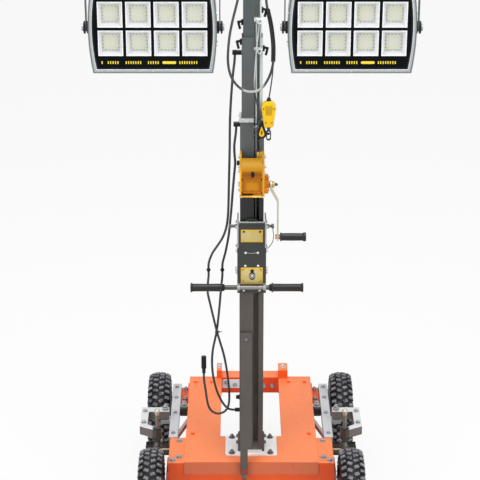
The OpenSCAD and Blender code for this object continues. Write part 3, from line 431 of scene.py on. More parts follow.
BRACKET_ZONES = tuple(     # worn front edges of the two cheeks
    ((("X", start, end), ("Y", BELOW, -0.2365), ("Z", 0.9, 1.168)), srgb(18, 19, 18), 0.9)
    for start, end in ((-0.06, -0.0452), (0.0452, 0.06)))
ARM_SHADE_ZONES = tuple(         # painted shade round the sleeve at the end of each stabiliser
    ((("X", x - 0.02, x + 0.02), ("Y", -0.124, -0.079)), srgb(56, 46, 40), 0.85) for x in (-0.376, 0.376))
WINCH_TONE_LIGHT_AND_SHADE_ZONES = (            # painted highlights on the left plate and the right plate's edge, painted shade on the cover's bend, painted highlight on the cover's top, painted shadow under the cover, painted highlight in the box's middle, and the ratchet side's own orange
    ((("X", BELOW, -0.0385),), srgb(232, 176, 52), 0.85),
    ((("X", 0.0365, 0.0455),), srgb(214, 156, 34), 0.8),
    ((("Z", 1.5, 1.54, 0.012),), srgb(182, 134, 20), 0.8),
    ((("X", -0.034, 0.032, 0.008), ("Z", 1.543, 1.58, 0.007)), srgb(232, 190, 70), 0.6),
    ((("X", -0.0365, 0.0345, 0.003), ("Z", 1.478, 1.496, 0.005)), srgb(112, 64, 4), 0.6),
    ((("X", -0.022, 0.022, 0.008), ("Z", 1.425, 1.458, 0.008)), srgb(206, 140, 14), 0.6),
    ((("X", 0.0455, 1),), srgb(206, 116, 14), 0.8))
# painted highlight on the horn's right-hand flange
HORN_HIGHLIGHT_ZONES = (((("X", 0, 1),), srgb(255, 212, 96), 0.9),)
JACK_TONE_AND_HIGHLIGHT_ZONES = (             # blackened foot, and a painted highlight on the top of the screw
    ((("Z", 0, 0.2562),), srgb(52, 46, 36), 0.92),
    ((("Z", 0.402, 1),), srgb(206, 204, 190), 0.8))
# painted light: the bar's middle, in front of the bracket, is made lighter
PUSH_BAR_LIGHT_ZONES = (((("X", -0.0425, 0.0425),), srgb(150, 146, 138), 0.85),)
# painted highlight where the lamp lead crosses in front of the mast
LAMP_LEAD_HIGHLIGHT_ZONES = (((("X", -0.034, 0.04, 0.006), ("Z", 1.5, 1.83, 0.01)), srgb(178, 178, 175), 0.9),)
ROPE_ZONES = (((("Z", 0, 1.425, 0.02),), srgb(36, 36, 33), 0.95),)                 # greased length
SAFETY_ROPE_ZONES = (((("Z", 1.5, 1.8, 0.03),), srgb(30, 30, 32), 0.95),)         # its black sheath

RUST = srgb(120, 70, 45)


class FinishTable(dict):
    """The materials by name, each made when it is first asked for."""

    def __missing__(self, name):
        self[name] = self.maker(name, bpy.context.scene.tower_colours)()
        return self[name]

    def maker(self, name, colours):
        orange, zinc, yellow = tuple(colours.orange), tuple(colours.zinc), tuple(colours.safety_yellow)
        post_grey, tyre_black = tuple(colours.post_grey), tuple(colours.rubber)
        lead_black = tuple(colours.lead)
        return {
            # upward faces take a painted highlight and sheen, and the front faces painted shade
            "orange": lambda: paint("Orange powder coat", orange, 0.33, grime=0.22, shine=0.3,
                                    lit_top=srgb(252, 142, 86), zones=DECK_SHADE_ZONES),
            "bracket_orange": lambda: paint("Bracket powder coat", orange, 0.33, grime=0.3,
                                            zones=RAIL_BRACKET_ZONES),
            "brace": lambda: paint("Brace enamel", post_grey, 0.42, grime=0.4, zones=BRACE_ZONES),
            "post": lambda: paint("Post enamel", post_grey, 0.42, grime=0.4, zones=POST_LIGHT_ZONES),
            "mast": lambda: paint("Mast enamel", tuple(colours.mast_grey), 0.4, grime=0.3, zones=MAST_TONE_LIGHT_AND_SHADE_ZONES),
            "bracket": lambda: paint("Bracket enamel", tuple(colours.bracket_grey), 0.4, grime=0.35,
                                     shine=0.3, zones=BRACKET_ZONES),
            # upward faces take a painted highlight over the grey, which was darkened as painted shade for
            # the sides
            "rail": lambda: paint("Rail enamel", tuple(colours.rail_grey), 0.38, RUST, grime=0.3,
                                  lit_top=srgb(212, 213, 216)),
            # the dark base colour is painted shade on the sides and the pale upward faces a painted
            # highlight; the zones paint shade round the sleeves
            "arm": lambda: paint("Stabiliser enamel", srgb(104, 97, 94), 0.38, RUST, grime=0.3,
                                 lit_top=srgb(232, 234, 237), zones=ARM_SHADE_ZONES),
            "rim": lambda: paint("Rim enamel", tuple(colours.rim_red), 0.36, grime=0.4),
            "winch": lambda: paint("Winch enamel", tuple(colours.winch_yellow), 0.32, grime=0.35, shine=0.2,
                                   zones=WINCH_TONE_LIGHT_AND_SHADE_ZONES),
            # a lighter copy of the winch paint: painted highlight on the horns and the base lip
            "winch_highlight": lambda: paint("Winch enamel with painted highlight", srgb(224, 170, 50), 0.32, grime=0.3, shine=0.2,
                                         zones=HORN_HIGHLIGHT_ZONES),
            "zinc": lambda: plated("Zinc plate", zinc),
            "dull_zinc": lambda: plated("Weathered zinc", shade(zinc, 0.62), 0.46, 0.25),
            "yoke": lambda: plated("Yoke strap", srgb(104, 108, 108), 0.44, 0.2, 0.5),
            "trim": lambda: plated("Bracket trim", srgb(168, 172, 170), 0.42, 0.16, 0.4),
            "base_plate": lambda: plated("Mast base plate", srgb(243, 240, 239), 0.55, 0.12, 0.05),
            "galvanised": lambda: plated("Galvanised plate", shade(zinc, 1.2), 0.42, 0.16, 0.3),
            "crank": lambda: plated("Crank plate", srgb(196, 188, 170), 0.36, 0.06, 0.7),
            "jack": lambda: plated("Levelling screw", srgb(124, 124, 116), 0.4, 0.2, 0.7, JACK_TONE_AND_HIGHLIGHT_ZONES),
            "foot_rib": lambda: plated("Foot rib", srgb(216, 210, 172), 0.42, 0.1, 0.2),
            "yellow_zinc": lambda: plated("Yellow zinc", tuple(colours.brass), 0.34, 0.1),
            "steel": lambda: plated("Oiled steel", srgb(112, 112, 114), 0.36, 0.12, 0.95),
            "black_steel": lambda: plated("Blackened steel", srgb(58, 64, 60), 0.36, 0.2, 0.6),
            "bright": lambda: brushed("Bright tube", srgb(92, 90, 84), 0.3, PUSH_BAR_LIGHT_ZONES),
            # the near-black base is painted shade in the grooves; the lug tops are painted pale, partly wear
            # and partly painted highlight
            "tyre": lambda: rubber("Tyre rubber", shade(tyre_black, 0.2), 0.5, 0.0008, 0.06, 0.25, "tread_light_and_wear"),
            "grip": lambda: rubber("Grip rubber", shade(tyre_black, 0.7), 0.3, 0.0003, 0.05, 0.4),
            "lead": lambda: rubber("Lead sheath", lead_black, 0.38, 0.0002, 0.1, 0.35),
            "lamp_lead": lambda: rubber("Lamp lead sheath", lead_black, 0.36, 0.0002, 0.1, 0.35,
                                        zones=LAMP_LEAD_HIGHLIGHT_ZONES),
            "fitting": lambda: moulded("Black fitting", srgb(22, 22, 24), 0.4, 0.2),
            "safety": lambda: moulded("Safety yellow", yellow, 0.34, 0.3),
            "safety_dark": lambda: moulded("Recessed yellow", shade(yellow, 0.6), 0.4),
            "label_yellow": lambda: moulded("Label border", srgb(222, 178, 28), 0.4),
            "label_amber": lambda: moulded("Label corners", srgb(176, 132, 12), 0.4),
            "label_pale": lambda: moulded("Label field", srgb(196, 178, 116), 0.45, 0.2),
            "silver": lambda: cast_silver("Silver casting", tuple(colours.silver)),
            # darker and paler copies of the silver: painted shade for the frame's rail, painted highlight
            # for its bead
            "silver_painted_shade": lambda: cast_silver("Shaded silver casting", srgb(108, 116, 116)),
            "silver_painted_highlight": lambda: cast_silver("Silver casting with painted highlight", srgb(214, 220, 222)),
            "glass": lambda: enamelled_glass("Black glass", srgb(4, 6, 6)),
            "rope": lambda: wire_rope("Wire rope", srgb(226, 230, 228), ROPE_ZONES),
            "safety_rope": lambda: wire_rope("Safety rope", srgb(214, 218, 216), SAFETY_ROPE_ZONES),
            "lanyard": lambda: wire_rope("Lanyard wire", srgb(120, 124, 120)),
            "reflector": lambda: reflector_white("Reflector", srgb(232, 233, 236)),
            "diode": lambda: phosphor("Phosphor panel", tuple(colours.phosphor)),
            "print": lambda: moulded("Yellow print", srgb(232, 206, 60), 0.4),
        }[name]


FINISHES = FinishTable()

NODE_FINISHES = {
    "orange": ("deck", "front_channel", "rear_crossbeam", "saddle_blocks"),
    "bracket_orange": ("rail_brackets",),
    "rim": ("stub_axles",) + tuple(f"rim_{wheel}" for wheel in WHEELS),
    "rail": ("side_rail_left", "side_rail_right"),
    "arm": ("stabiliser_arm_left", "stabiliser_arm_right"),
    "base_plate": ("mast_base",),
    "post": ("lower_post",),
    "brace": ("front_brace",),
    "bracket": ("fold_bracket",),
    "mast": ("outer_stage", "middle_stage", "inner_stage", "mast_head"),
    "zinc": ("fold_pin", "outer_collar"),
    "yoke": ("yoke_left", "yoke_right"),
    "steel": ("lock_pin", "winch_drum"),
    "black_steel": ("arrester_hook",),
    "bright": ("push_bar",),
    "jack": ("jack_left", "jack_right"),
    "grip": ("push_grips", "crank_grip"),
    "fitting": ("lead_ends", "lead_clamps"),
    "winch": ("winch_frame",),
    "crank": ("crank_arm",),
    "rope": ("middle_rope", "inner_rope"),
    "safety": ("arrester_block", "rope_eye"),
    "silver": ("lamp_housing_left", "lamp_housing_right"),
    "glass": ("lamp_face_left", "lamp_face_right"),
    "tyre": tuple(f"tyre_{wheel}" for wheel in WHEELS),
}


class TOWER_OT_finish_frame(bpy.types.Operator):
    """Gives every built part of the tower its finish"""
    bl_idname = "tower.finish_frame"
    bl_label = "Finish the frame"

    def execute(self, context):
        for finish, nodes in NODE_FINISHES.items():
            for node in nodes:
                part = frame["nodes"][node]
                part.data.materials.clear()
                part.data.materials.append(FINISHES[finish])
        return {"FINISHED"}


# ---------------- stage

class TOWER_OT_stage(bpy.types.Operator):
    """Builds the pale studio: floor, soft lamps and camera"""
    bl_idname = "tower.stage"
    bl_label = "Stage"

    def execute(self, context):
        settings = context.scene.tower_stage
        context.scene.view_settings.view_transform = "Standard"
        self.camera(context, settings)
        self.room(context, settings)
        self.floor()
        for name, place, target, size, power in (
                ("Top box", (0.0, -1.0, 5.4), (0.0, 0.0, 0.5), 3.4, 150),
                ("Front left box", (-3.4, -4.2, 3.0), (0.0, 0.0, 1.1), 2.4, 90),
                ("Front right box", (3.6, -3.6, 2.6), (0.0, 0.0, 1.0), 2.4, 70)):
            self.soft_box(context, name, Vector(place), Vector(target), size, power)
        return {"FINISHED"}

    def camera(self, context, settings):
        camera = bpy.data.objects.new("Camera", bpy.data.cameras.new("Camera"))
        context.scene.collection.objects.link(camera)
        camera.location = settings.eye
        camera.rotation_euler = (math.pi / 2 - settings.pitch, 0, 0)
        camera.data.lens = settings.lens
        camera.data.sensor_width = 36
        context.scene.camera = camera

    def seen_directly(self, tree, otherwise, directly):
        """One value for the camera, reflections and glass, and another for the rest of the light."""
        path = tree.nodes.new("ShaderNodeLightPath")
        seen = path.outputs["Is Camera Ray"]
        for output in ("Is Glossy Ray", "Is Transmission Ray"):
            either = tree.nodes.new("ShaderNodeMath")
            either.operation = "MAXIMUM"
            tree.links.new(seen, either.inputs[0])
            tree.links.new(path.outputs[output], either.inputs[1])
            seen = either.outputs["Value"]
        chosen = tree.nodes.new("ShaderNodeMapRange")
        chosen.inputs["To Min"].default_value = otherwise
        chosen.inputs["To Max"].default_value = directly
        tree.links.new(seen, chosen.inputs["Value"])
        return chosen.outputs["Result"]

    def room(self, context, settings):
        world = bpy.data.worlds.new("Studio")
        context.scene.world = world
        world.use_nodes = True
        tree = world.node_tree
        background = tree.nodes["Background"]
        background.inputs["Color"].default_value = (1, 1, 1, 1)
        tree.links.new(self.seen_directly(tree, settings.ambient, 1.0), background.inputs["Strength"])

    def floor(self):
        clear_selection()
        bpy.ops.mesh.primitive_plane_add(size=40, location=(0, 0, 0))
        floor = bpy.context.object
        floor.name = "Floor"
        material = bpy.data.materials.new("Pale floor")
        material.use_nodes = True
        tree = material.node_tree
        shader = tree.nodes["Principled BSDF"]
        shader.inputs["Base Color"].default_value = (0.86, 0.86, 0.86, 1)
        shader.inputs["Roughness"].default_value = 0.8
        glow = tree.nodes.new("ShaderNodeEmission")
        both = tree.nodes.new("ShaderNodeMixShader")
        tree.links.new(self.seen_directly(tree, 0.0, 0.86), both.inputs["Fac"])
        tree.links.new(shader.outputs["BSDF"], both.inputs[1])
        tree.links.new(glow.outputs["Emission"], both.inputs[2])
        tree.links.new(both.outputs["Shader"], tree.nodes["Material Output"].inputs["Surface"])
        floor.data.materials.append(material)

    def soft_box(self, context, name, place, target, size, power):
        lamp = bpy.data.objects.new(name, bpy.data.lights.new(name, "AREA"))
        context.scene.collection.objects.link(lamp)
        lamp.location = place
        lamp.rotation_euler = (target - place).to_track_quat("-Z", "Y").to_euler()
        lamp.data.size = size
        lamp.data.energy = power


# ---------------- modelling

# Directions in which fasteners and turned parts stand
UP, DOWN, FRONT, LEFT, RIGHT = (0, 0, 1), (0, 0, -1), (0, -1, 0), (-1, 0, 0), (1, 0, 0)


def edit_mesh():
    bpy.ops.object.mode_set(mode="EDIT")


def leave_mesh():
    bpy.ops.object.mode_set(mode="OBJECT")


def select_all():
    bpy.ops.mesh.select_all(action="SELECT")


def draw_out(step):
    """Extrudes what is selected in edit mode."""
    bpy.ops.mesh.extrude_region_move(TRANSFORM_OT_translate={"value": step})


def clear_selection():
    if bpy.context.mode != "OBJECT":
        leave_mesh()
    bpy.ops.object.select_all(action="DESELECT")


def choose(*pieces):
    clear_selection()
    for piece in pieces:
        piece.select_set(True)
    bpy.context.view_layer.objects.active = pieces[0]


def soften(piece, width, steps=2, angle=30):
    """Rounds the edges that are sharper than the angle."""
    choose(piece)
    rounding = piece.modifiers.new("Rounded edges", "BEVEL")
    rounding.width = width
    rounding.segments = steps
    rounding.limit_method = "ANGLE"
    rounding.angle_limit = math.radians(angle)
    bpy.ops.object.modifier_apply(modifier=rounding.name)
    return piece


def block(low, high, round_off=0.001, steps=2):
    """A bar or plate between two corners, with rounded edges."""
    clear_selection()
    low, high = Vector(low), Vector(high)
    bpy.ops.mesh.primitive_cube_add(size=1, location=(low + high) / 2)
    piece = bpy.context.object
    piece.scale = high - low
    bpy.ops.object.transform_apply()
    return soften(piece, round_off, steps)


def chain(points):
    """Edges drawn through the points; the new object stays in edit mode with its last point selected."""
    clear_selection()
    bpy.ops.mesh.primitive_plane_add(size=0.01)
    edit_mesh()
    bpy.ops.mesh.merge(type="CENTER")
    bpy.ops.transform.translate(value=points[0])
    for a, b in zip(points, points[1:]):
        bpy.ops.mesh.extrude_vertices_move(TRANSFORM_OT_translate={"value": Vector(b) - Vector(a)})
    select_all()
    return bpy.context.object


def close_shell():
    """Merges what meets, turns the faces outwards and leaves edit mode."""
    select_all()
    bpy.ops.mesh.remove_doubles(threshold=0.000005)
    bpy.ops.mesh.normals_make_consistent(inside=False)
    leave_mesh()


def turned(profile, base=(0, 0, 0), axis=UP, steps=32):
    """A lathe part: its profile of (radius, height) pairs spun round the axis, from the base up."""
    piece = chain([(radius, 0, height) for radius, height in profile])
    bpy.ops.mesh.spin(steps=steps, angle=math.tau, center=(0, 0, 0), axis=UP)
    close_shell()
    piece.matrix_world = placed(base, axis)
    bpy.ops.object.transform_apply()
    return piece


def cut_plate(outline, along, start, end, round_off=0.0008):
    """A flat plate: its outline in the two directions across X, Y or Z, extruded from start to end."""
    def point(a, b):
        return {"X": (start, a, b), "Y": (a, start, b), "Z": (a, b, start)}[along]
    piece = chain([point(a, b) for a, b in outline])
    bpy.ops.mesh.edge_face_add()
    depth = [(end - start) * (along == axis) for axis in "XYZ"]
    draw_out(depth)
    close_shell()
    return soften(piece, round_off) if round_off else piece


def placed(point, axis=UP):
    """The matrix that stands a part, modelled up the Z axis, at a point and along an axis."""
    return Matrix.Translation(Vector(point)) @ Vector(axis).to_track_quat("Z", "Y").to_matrix().to_4x4()


def stood(spots, axis=UP):
    return [placed(spot, axis) for spot in spots]


def joined(*pieces):
    choose(*pieces)
    bpy.ops.object.join()
    return pieces[0]


def copies(master, places, keep=False):
    """Copies of one modelled part at the places, each with its own mesh, joined; places are matrices."""
    made = []
    for place in places:
        copy = master.copy()
        copy.data = master.data.copy()
        copy.data.transform(place @ master.matrix_world)
        copy.matrix_world = Matrix.Identity(4)
        bpy.context.scene.collection.objects.link(copy)
        made.append(copy)
    if not keep:
        bpy.data.objects.remove(master)
    return joined(*made)


def settle(piece, name, body, finish, smooth=35):
    """Fixes a piece's place in its mesh, smooths it, gives it its finish and hangs it on its body."""
    choose(piece)
    piece.name = piece.data.name = name
    bpy.ops.object.transform_apply()
    bpy.ops.object.shade_smooth_by_angle(angle=math.radians(smooth))
    piece.data.materials.clear()
    piece.data.materials.append(FINISHES[finish])
    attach(piece, body)
    return piece


def fasten(fastener, places, name, body, finish="zinc"):
    """One piece made of a fastener repeated at the places."""
    return settle(copies(fastener, places), name, body, finish)


def pick_faces(test):
    """Selects, in edit mode, the faces whose middle and normal pass the test."""
    bpy.ops.mesh.select_all(action="DESELECT")
    leave_mesh()
    for face in bpy.context.object.data.polygons:
        face.select = test(face.center, face.normal)
    edit_mesh()


def middle(node):
    low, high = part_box(node)
    return (low + high) / 2


# ---------------- fasteners, modelled up the Z axis

def hex_bolt(size):
    """Bolt head with its washer, for a thread of the given diameter."""
    washer = turned([(0, 0), (0, 0.0018), (size * 1.1, 0.0018), (size * 1.18, 0.0012), (size * 1.18, 0),
                     (0, 0)], steps=24)
    clear_selection()
    bpy.ops.mesh.primitive_cylinder_add(vertices=6, radius=size * 0.85, depth=size * 0.7,
                                        location=(0, 0, 0.0015 + size * 0.35))
    head = bpy.context.object
    edit_mesh()
    pick_faces(lambda centre, normal: normal.z > 0.9)
    bpy.ops.mesh.inset(thickness=size * 0.12, depth=size * 0.06)
    leave_mesh()
    soften(head, size * 0.05, 1)
    return joined(head, washer)


def nut_on_stud(size):
    """Nut and washer on the end of a threaded stud."""
    stud = turned([(0, 0), (size * 0.48, 0), (size * 0.48, size * 1.25), (size * 0.38, size * 1.4),
                   (0, size * 1.4)], steps=16)
    return joined(hex_bolt(size), stud)


def rivet(radius):
    return turned([(radius, 0), (radius * 0.92, radius * 0.3), (radius * 0.65, radius * 0.55),
                   (radius * 0.3, radius * 0.68), (0, radius * 0.72)], steps=16)


def cap_screw(radius):
    """Round head with a socket."""
    return turned([(radius, 0), (radius, radius * 0.8), (radius * 0.86, radius), (radius * 0.5, radius),
                   (radius * 0.46, radius * 0.5), (0, radius * 0.5)], steps=20)


def plain_nut(radius, depth, base, axis):
    """Plain six-sided nut standing on the base, along the axis."""
    clear_selection()
    bpy.ops.mesh.primitive_cylinder_add(vertices=6, radius=radius, depth=depth, location=(0, 0, depth / 2))
    piece = bpy.context.object
    soften(piece, radius * 0.08, 1)
    piece.matrix_world = placed(base, axis) @ piece.matrix_world
    return piece


# ---------------- leads and ropes

# Points along each lead and rope, in metres; a cord's first point is its exit
LOWER_A = [
    (-0.165, -0.12, 1.0267), (-0.165, -0.12, 1.01), (-0.168, -0.123, 0.98), (-0.169, -0.127, 0.945),
    (-0.16, -0.132, 0.9), (-0.133, -0.139, 0.78), (-0.108, -0.145, 0.69), (-0.093, -0.149, 0.6),
    (-0.087, -0.154, 0.53), (-0.087, -0.158, 0.492), (-0.093, -0.161, 0.465), (-0.108, -0.162, 0.446),
    (-0.13, -0.162, 0.439), (-0.152, -0.16, 0.446), (-0.167, -0.156, 0.465), (-0.174, -0.152, 0.492),
    (-0.18, -0.147, 0.535), (-0.185, -0.145, 0.572), (-0.186, -0.145, 0.591), (-0.186, -0.145, 0.61)]
LOWER_B = [
    (-0.112, -0.12, 1.0267), (-0.112, -0.12, 1.01), (-0.115, -0.122, 0.98), (-0.119, -0.124, 0.94),
    (-0.124, -0.127, 0.88), (-0.135, -0.128, 0.78), (-0.149, -0.128, 0.71), (-0.154, -0.129, 0.65),
    (-0.15, -0.131, 0.59), (-0.138, -0.136, 0.535), (-0.127, -0.14, 0.505), (-0.115, -0.144, 0.482),
    (-0.102, -0.147, 0.464), (-0.088, -0.149, 0.453), (-0.074, -0.15, 0.45), (-0.069, -0.15, 0.45),
    (-0.064, -0.15, 0.45)]
UPPER_A = [
    (-0.062, -0.18, 1.912), (-0.064, -0.18, 1.87), (-0.07, -0.18, 1.819), (-0.077, -0.18, 1.726),
    (-0.081, -0.18, 1.64), (-0.082, -0.18, 1.554), (-0.084, -0.178, 1.46), (-0.086, -0.172, 1.379),
    (-0.088, -0.16, 1.3), (-0.094, -0.146, 1.228), (-0.112, -0.134, 1.169), (-0.148, -0.124, 1.108),
    (-0.163, -0.121, 1.068), (-0.165, -0.12, 1.0433)]
UPPER_B = [
    (-0.058, -0.196, 1.646), (-0.058, -0.196, 1.636), (-0.058, -0.196, 1.626), (-0.06, -0.196, 1.6),
    (-0.065, -0.196, 1.557), (-0.064, -0.196, 1.52), (-0.062, -0.196, 1.49), (-0.066, -0.194, 1.44),
    (-0.071, -0.19, 1.38), (-0.076, -0.18, 1.31), (-0.081, -0.165, 1.25), (-0.088, -0.145, 1.18),
    (-0.1, -0.13, 1.11), (-0.11, -0.122, 1.068), (-0.112, -0.12, 1.0433)]
LAMP_LEAD = [
    (-0.046, -0.188, 2.15), (-0.046, -0.188, 2.14), (-0.046, -0.188, 2.13), (-0.054, -0.2, 2.09),
    (-0.068, -0.226, 2.039), (-0.08, -0.25, 1.985), (-0.086, -0.262, 1.93), (-0.086, -0.266, 1.88),
    (-0.074, -0.268, 1.832), (-0.044, -0.268, 1.794), (-0.006, -0.268, 1.78), (0.034, -0.268, 1.794),
    (0.062, -0.268, 1.84), (0.074, -0.266, 1.89), (0.074, -0.258, 1.95), (0.066, -0.236, 2.015),
    (0.052, -0.206, 2.075), (0.046, -0.188, 2.13), (0.046, -0.188, 2.14), (0.046, -0.188, 2.15)]
SLEEVE = [
    (0.074, -0.266, 1.89), (0.074, -0.258, 1.95), (0.066, -0.236, 2.015), (0.054, -0.21, 2.066)]
ARRESTER_CORD = [
    (0.074, -0.2762, 1.897), (0.073, -0.28, 1.87), (0.07, -0.284, 1.835), (0.064, -0.286, 1.79),
    (0.06, -0.286, 1.765), (0.059, -0.286, 1.7523)]
SAFETY_ROPE = [
    (0.024, -0.214, 2.0237), (0.024, -0.215, 2.008), (0.022, -0.219, 1.985), (0.018, -0.229, 1.953),
    (0.012, -0.242, 1.89), (0.008, -0.255, 1.82), (0.009, -0.258, 1.78), (0.017, -0.268, 1.735),
    (0.028, -0.284, 1.69), (0.034, -0.292, 1.66), (0.034, -0.292, 1.646)]
LANYARD = [
    (0.08, -0.177, 1.2256), (0.08, -0.177, 1.218), (0.083, -0.18, 1.198), (0.078, -0.184, 1.172),
    (0.064, -0.186, 1.152), (0.059, -0.186, 1.15), (0.0546, -0.186, 1.15)]


def smooth_route(points, steps):
    """The route's points with steps - 1 more on the smooth curve between each two."""
    route = [Vector(point) for point in points]
    made = []
    for i in range(len(route) - 1):
        a, b, c, d = route[max(i - 1, 0)], route[i], route[i + 1], route[min(i + 2, len(route) - 1)]
        for t in (step / steps for step in range(steps)):
            made.append(0.5 * (2 * b + (c - a) * t + (2 * a - 5 * b + 4 * c - d) * t * t
                               + (3 * b - a - 3 * c + d) * t ** 3))
    return made + [route[-1]]


def length_of(points):
    return sum((b - a).length for a, b in zip(points, points[1:]))


def flexible(name, route, steps, diameter, body, finish, node):
    """A round lead or rope along its route, standing for its built solid."""
    points = smooth_route(route, steps)
    curve = bpy.data.curves.new(name, "CURVE")
    curve.dimensions = "3D"
    curve.bevel_depth = diameter / 2
    curve.bevel_resolution = 4
    curve.resolution_u = 4
    curve.use_fill_caps = True
    spline = curve.splines.new("BEZIER")
    spline.bezier_points.add(len(points) - 1)
    for knot, point in zip(spline.bezier_points, points):
        knot.co = point
        knot.handle_left_type = knot.handle_right_type = "AUTO"
    curve.materials.append(FINISHES[finish])
    piece = bpy.data.objects.new(name, curve)
    bpy.context.scene.collection.objects.link(piece)
    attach(piece, body)
    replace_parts(piece, node)
    return piece, length_of(points)


class TOWER_OT_leads(bpy.types.Operator):
    """Lays the electric leads, the ropes and the pin's lanyard"""
    bl_idname = "tower.leads"
    bl_label = "Leads and ropes"

    def execute(self, context):
        sizes, nodes = context.scene.tower_sizes, frame["nodes"]
        sleeve, _ = flexible("sleeve_on_lead", SLEEVE, 4, sizes.sleeve_d, "inner", "fitting",
                             "lead_sleeve")
        for name, route, body, sheath, far_end, on_it in (
                ("lower_lead_a", LOWER_A, "chassis", "lead", "plug", [nodes["lead_ends"]]),
                ("lower_lead_b", LOWER_B, "chassis", "lead", "object", []),
                ("upper_lead_a", UPPER_A, "mast", "lead", "object", []),
                ("upper_lead_b", UPPER_B, "mast", "lead", "object", []),
                ("lamp_lead", LAMP_LEAD, "inner", "lamp_lead", "object", [sleeve])):
            self.lay(name, route, 2, sizes.lead_d, body, sheath, "lead_black", "medium", far_end, on_it)
        self.lay("arrester_cord", ARRESTER_CORD, 4, sizes.rope_d, "inner", "lead", "lead_black", "limp",
                 "fitting", [nodes["arrester_block"], nodes["arrester_hook"]])
        self.lay("safety_rope", SAFETY_ROPE, 2, sizes.rope_d, "inner", "safety_rope", "wire_rope", "stiff",
                 "fitting", [nodes["rope_eye"]])
        self.lay("pin_lanyard", LANYARD, 3, sizes.lanyard_d, "mast", "lanyard", "wire_rope", "stiff",
                 "object", [])
        return {"FINISHED"}

    def lay(self, node, route, steps, diameter, body, finish, slot, stiffness, far_end, on_it):
        piece, length = flexible(node + "_laid", route, steps, diameter, body, finish, node)
        route[0]


# ---------------- tyres

class TOWER_OT_tyres(bpy.types.Operator):
    """Models the knobbly tyres with their lugs, beads and sidewall ribs"""
    bl_idname = "tower.tyres"
    bl_label = "Tyres"

    LUGS_ROUND = 34
    SECTION_RADIUS = 0.18      # of the tyre whose section carcass() gives

    def execute(self, context):
        low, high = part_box("tyre_front_left")
        outer = (high.z - low.z) / 2
        depth = context.scene.tower_sizes.lug_h
        tyre = joined(self.carcass(outer), self.tread(outer - 0.0005, depth))
        self.mark_tread_light_and_wear(tyre, outer, depth)
        for wheel in WHEELS:
            node = f"tyre_{wheel}"
            made = copies(tyre, [Matrix.Translation(middle(node))], keep=True)
            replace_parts(settle(made, f"knobbly_{node}", f"wheel_{wheel}", "tyre", 30), node)
        bpy.data.objects.remove(tyre)
        return {"FINISHED"}

    def mark_tread_light_and_wear(self, tyre, outer, depth):
        """Writes how pale the tread is painted at each point, partly wear and partly painted light: 1 on the
        lugs' tops, 0 in the grooves, which stay dark as painted shade.
        """
        tread_light_and_wear = tyre.data.attributes.new("tread_light_and_wear", "FLOAT", "POINT")
        shoulder, fall = 0.022, 0.55      # the crown falls away from the shoulder out
        for point, mark in zip(tyre.data.vertices, tread_light_and_wear.data):
            reach = math.hypot(point.co.y, point.co.z) + fall * max(0.0, abs(point.co.x) - shoulder)
            mark.value = min(1.0, max(0.0, (reach - outer + depth * 0.75) / (depth * 0.5)))

    def carcass(self, outer):
        """Casing under the lugs, with two ribs and a rim protector on each sidewall."""
        side = [(0.171, 0.0), (0.1698, 0.014), (0.1655, 0.026), (0.158, 0.0355), (0.15, 0.0415),
                (0.144, 0.044), (0.142, 0.0456), (0.138, 0.0458), (0.136, 0.0454), (0.126, 0.0472),
                (0.116, 0.0468), (0.114, 0.0478), (0.11, 0.0472), (0.108, 0.0452), (0.098, 0.0405),
                (0.095, 0.0402), (0.091, 0.0385), (0.0865, 0.0355), (0.084, 0.034)]
        profile = side + [(radius, -height) for radius, height in reversed(side)] + side[:1]
        scale = outer / self.SECTION_RADIUS
        return turned([(radius * scale, height) for radius, height in profile], axis=RIGHT, steps=68)

    def tread(self, outer, depth):
        """On each hand a row of lugs beside the middle, one leaning on the shoulder, one on the sidewall."""
        step = math.tau / self.LUGS_ROUND
        # Each row's lug, its place across the tyre, the height of its foot, its lean and skew in degrees,
        # and its place round the tyre in steps
        rows = (
            (self.lug(0.0235, 0.0155, depth + 0.002, 0.8), 0.0115, outer - depth - 0.003, 8, 24, 0),
            (self.lug(0.023, 0.014, depth + 0.003, 0.82), 0.0315, outer - 0.0188, 34, 0, 0.5),
            (self.lug(0.016, 0.011, 0.005, 0.8), 0.0415, outer - 0.0315, 70, 0, 0.5))
        made = []
        for lug, across, foot, lean, skew, later in rows:
            places = []
            for i in range(self.LUGS_ROUND):
                for hand in (-1, 1):
                    turn = Matrix.Rotation(step * (i + later + 0.25 * hand), 4, "X")
                    leant = Matrix.Rotation(math.radians(lean * hand), 4, "Y")
                    skewed = Matrix.Rotation(math.radians(skew * hand), 4, "Z")
                    places.append(turn @ Matrix.Translation((across * hand, 0, foot)) @ leant @ skewed)
            made.append(copies(lug, places))
        return joined(*made)

    def lug(self, width, length, height, taper):
        """One rubber block, narrower at its top, standing on the plane z = 0."""
        clear_selection()
        bpy.ops.mesh.primitive_cube_add(size=1, location=(0, 0, height / 2))
        piece = bpy.context.object
        piece.scale = (width, length, height)
        bpy.ops.object.transform_apply()
        edit_mesh()
        pick_faces(lambda centre, normal: normal.z > 0.9)
        bpy.ops.transform.resize(value=(taper, taper, 1), center_override=(0, 0, height))
        leave_mesh()
        return soften(piece, 0.0012, 1)


# ---------------- floodlights

HOUSING_REACH = 0.229   # from a floodlight's centre to the middle of its swollen side
SIDE_BULGE = 0.014      # how much further that middle stands out than the corners
YOKE_REACH = 0.2413     # to the outer face of the yoke
PIVOT_Y = -0.19


def barrel(half_width, half_height, bulge, steps=8):
    """Outline of a floodlight's front, whose two sides swell towards the middle."""
    right = [(half_width - bulge * t * t, half_height * t)
             for t in (2 * i / steps - 1 for i in range(steps + 1))]
    return right + [(-x, z) for x, z in reversed(right)]


